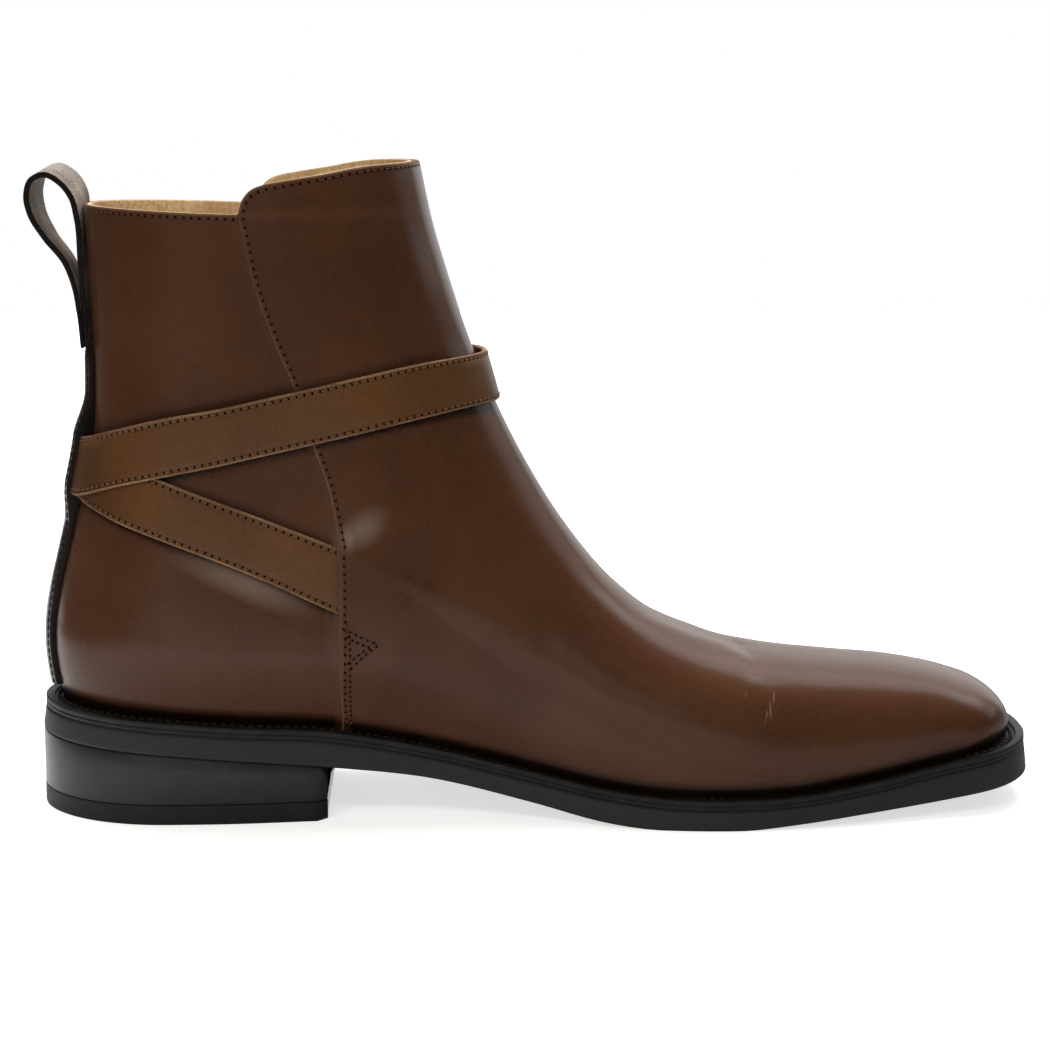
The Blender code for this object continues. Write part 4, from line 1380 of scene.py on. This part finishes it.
class BOOT_OT_heel(bpy.types.Operator):
    """Makes the stacked heel block and the top lift under it"""

    bl_idname = "boot.heel"
    bl_label = "Heel"

    def execute(self, context):
        edge = heel_outline()
        low = TOP_LIFT_THICK + LAYER_GAP

        def loop(inset, below_top=None, above_low=None):
            spot = inset_loop(edge, inset)
            top = sole_tread(spot[:, 0]) - LAYER_GAP
            height = low + above_low if below_top is None else top - below_top
            return np.column_stack([spot, np.broadcast_to(height, len(spot))])

        block = [loop(inset, below_top=depth) for inset, depth in HEEL_BELOW_TOP]
        block += [loop(inset, above_low=rise) for inset, rise in HEEL_OVER_LIFT]
        stack("heel_stack", block, [finish("sole")], ("heel_block",))
        lift = [loop(inset, above_low=rise) for inset, rise in LIFT_UNDER_HEEL]
        stack("heel_top_lift", lift, [finish("rubber")], ("top_lift",))
        return {"FINISHED"}


class BOOT_OT_stitching(bpy.types.Operator):
    """Sews the rows on the flap, collar, straps, back stay and welt"""

    bl_idname = "boot.stitching"
    bl_label = "Stitching"

    def execute(self, context):
        sizes = context.scene.boot_sizes
        pitch, strap_pitch = sizes.stitch / MM, sizes.strap_stitch / MM
        inset = sizes.row_inset / MM
        vamp, quarters = surface_tree("vamp"), surface_tree("quarters")
        flap = offset_line(flap_border(FLAP_ROW_START, FLAP_SEAM_POINTS, FLAP_TOP_POINTS), inset)
        collar_x = np.linspace(COLLAR_ROW_FROM, COLLAR_ROW_TO, COLLAR_POINTS)
        collar = np.stack([collar_x, collar_height(collar_x) - inset], -1)
        tacks = [bent(corners, TACK_POINTS) for corners in (TACK_OUTER, TACK_INNER, TACK_ROW)]
        rows = []
        for side in (-1, 1):
            for line, tree, step in (
                (flap, vamp, pitch),
                *((tack, vamp, pitch * TACK_PITCH) for tack in tacks),
                (collar, quarters, pitch),
            ):
                spots = upper_face(line[:, 0], line[:, 1], side)
                rows.append(on_surface(tree, resample(spots, step)))
        sew("upper_stitching", rows, UPPER_THREAD, "thread")

        rows = []
        for name in ("strap_lower", "strap_upper"):
            _, far, normal = strap_form(name, sizes.strap / MM)
            rows += band_rows(far, normal, STITCH_ROWS, strap_pitch, STITCH_RAISE, name == "strap_upper")
        sew("strap_stitching", rows, STRAP_THREAD, "strap_thread")

        _, far, normal = stay_form()
        rows = band_rows(far, normal, STAY_STITCH_ROWS, strap_pitch, 0.0, False)
        sew("stay_stitching", rows, STAY_THREAD, "welt_thread")

        edge = sole_layer(WELT_ROW_INSET, sole_top, WELT_ROW_DEPTH)
        edge = np.concatenate([edge, edge[:1]])
        holes = resample(edge, sizes.welt_stitch / MM)
        upward = np.broadcast_to([0.0, 0.0, 1.0], holes.shape)
        sew("welt_stitching", [(holes, upward)], WELT_THREAD, "welt_thread")
        return {"FINISHED"}


class BOOT_OT_stage(bpy.types.Operator):
    """Sets up the camera, the soft boxes, the white surround and the floor"""

    bl_idname = "boot.stage"
    bl_label = "Stage"

    def execute(self, context):
        scene = context.scene
        scene.view_settings.view_transform = "Standard"
        self.camera(scene)
        for box in SOFT_BOXES:
            self.soft_box(scene, *box)
        self.surround(scene)
        # The white table shows; a greyer one just under it is what the leather reflects.
        shown = self.table(scene, "studio_table", "floor", TABLE_LEFT, TABLE_RIGHT, TABLE_FRONT, 0.0)
        shown.visible_glossy = shown.visible_diffuse = shown.visible_shadow = False
        for name, left, right, front in REFLECTED_TABLES:
            reflected = self.table(scene, name, "floor_painted_shade", left, right, front, -TABLE_GAP)
            reflected.visible_camera = False
        return {"FINISHED"}

    def camera(self, scene):
        """The camera at the photograph's angle."""
        lens = bpy.data.cameras.new("camera")
        lens.lens, lens.sensor_width = CAMERA_LENS, CAMERA_SENSOR
        camera = bpy.data.objects.new("camera", lens)
        camera.location = CAMERA_PLACE
        aim = Vector(CAMERA_AIM) - Vector(CAMERA_PLACE)
        camera.rotation_euler = aim.to_track_quat("-Z", "Y").to_euler()
        scene.collection.objects.link(camera)
        scene.camera = camera

    def soft_box(self, scene, name, spot, target, width, height, brightness):
        """One lit panel that the camera doesn't see."""
        lamp = bpy.data.lights.new(name, "AREA")
        lamp.shape, lamp.size, lamp.size_y = "RECTANGLE", width, height
        lamp.energy = brightness * np.pi * width * height
        box = bpy.data.objects.new(name, lamp)
        box.location = spot
        box.rotation_euler = (Vector(target) - Vector(spot)).to_track_quat("-Z", "Y").to_euler()
        box.visible_camera = False
        box.visible_glossy = name not in NOT_REFLECTED
        scene.collection.objects.link(box)

    def surround(self, scene):
        """A surround that shows white and lights the boot only faintly."""
        world = bpy.data.worlds.new("white_surround")
        world.use_nodes = True
        tree = world.node_tree
        tree.nodes.clear()
        seen = add(tree, "Background", {"Color": (1, 1, 1, 1), "Strength": 1.0})
        felt = add(tree, "Background", {"Color": (1, 1, 1, 1), "Strength": AMBIENT})
        path = add(tree, "LightPath")
        mix = add(
            tree,
            "MixShader",
            {0: path.outputs["Is Camera Ray"], 1: felt.outputs[0], 2: seen.outputs[0]},
        )
        add(tree, "OutputWorld", {"Surface": mix.outputs[0]})
        scene.world = world

    def table(self, scene, name, look, left, right, front, height):
        """One level rectangle of the stage."""
        mesh = bpy.data.meshes.new(name)
        shape = bmesh.new()
        corners = ((left, front), (right, front), (right, TABLE_BACK), (left, TABLE_BACK))
        shape.faces.new([shape.verts.new((*corner, height)) for corner in corners])
        shape.to_mesh(mesh)
        shape.free()
        mesh.materials.append(finish(look))
        floor = bpy.data.objects.new(name, mesh)
        scene.collection.objects.link(floor)
        return floor


OPERATORS = (
    BOOT_OT_stage,
    BOOT_OT_upper,
    BOOT_OT_lining,
    BOOT_OT_straps,
    BOOT_OT_back_stay,
    BOOT_OT_pull_loop,
    BOOT_OT_sole,
    BOOT_OT_heel,
    BOOT_OT_stitching,
)


class BOOT_PT_panel(bpy.types.Panel):
    """Lists the boot's sizes, colours and pieces"""

    bl_idname = "BOOT_PT_panel"
    bl_label = "Ankle boot"
    bl_space_type = "VIEW_3D"
    bl_region_type = "UI"
    bl_category = "Boot"

    def draw(self, context):
        for group in (context.scene.boot_sizes, context.scene.boot_colours):
            for name in group.__annotations__:
                self.layout.prop(group, name)
        for operator in OPERATORS:
            self.layout.operator(operator.bl_idname)


CLASSES = (BootSizes, BootColours, *OPERATORS, BOOT_PT_panel)


def register():
    """Adds the classes and the scene's properties."""
    for made in CLASSES:
        bpy.utils.register_class(made)
    bpy.types.Scene.boot_sizes = bpy.props.PointerProperty(type=BootSizes)
    bpy.types.Scene.boot_colours = bpy.props.PointerProperty(type=BootColours)


def unregister():
    """Takes them out again."""
    del bpy.types.Scene.boot_colours
    del bpy.types.Scene.boot_sizes
    for made in reversed(CLASSES):
        bpy.utils.unregister_class(made)


def main():
    """Makes every piece in order."""
    register()
    for operator in OPERATORS:
        group, name = operator.bl_idname.split(".")
        getattr(getattr(bpy.ops, group), name)()


if __name__ == "__main__":
    main()
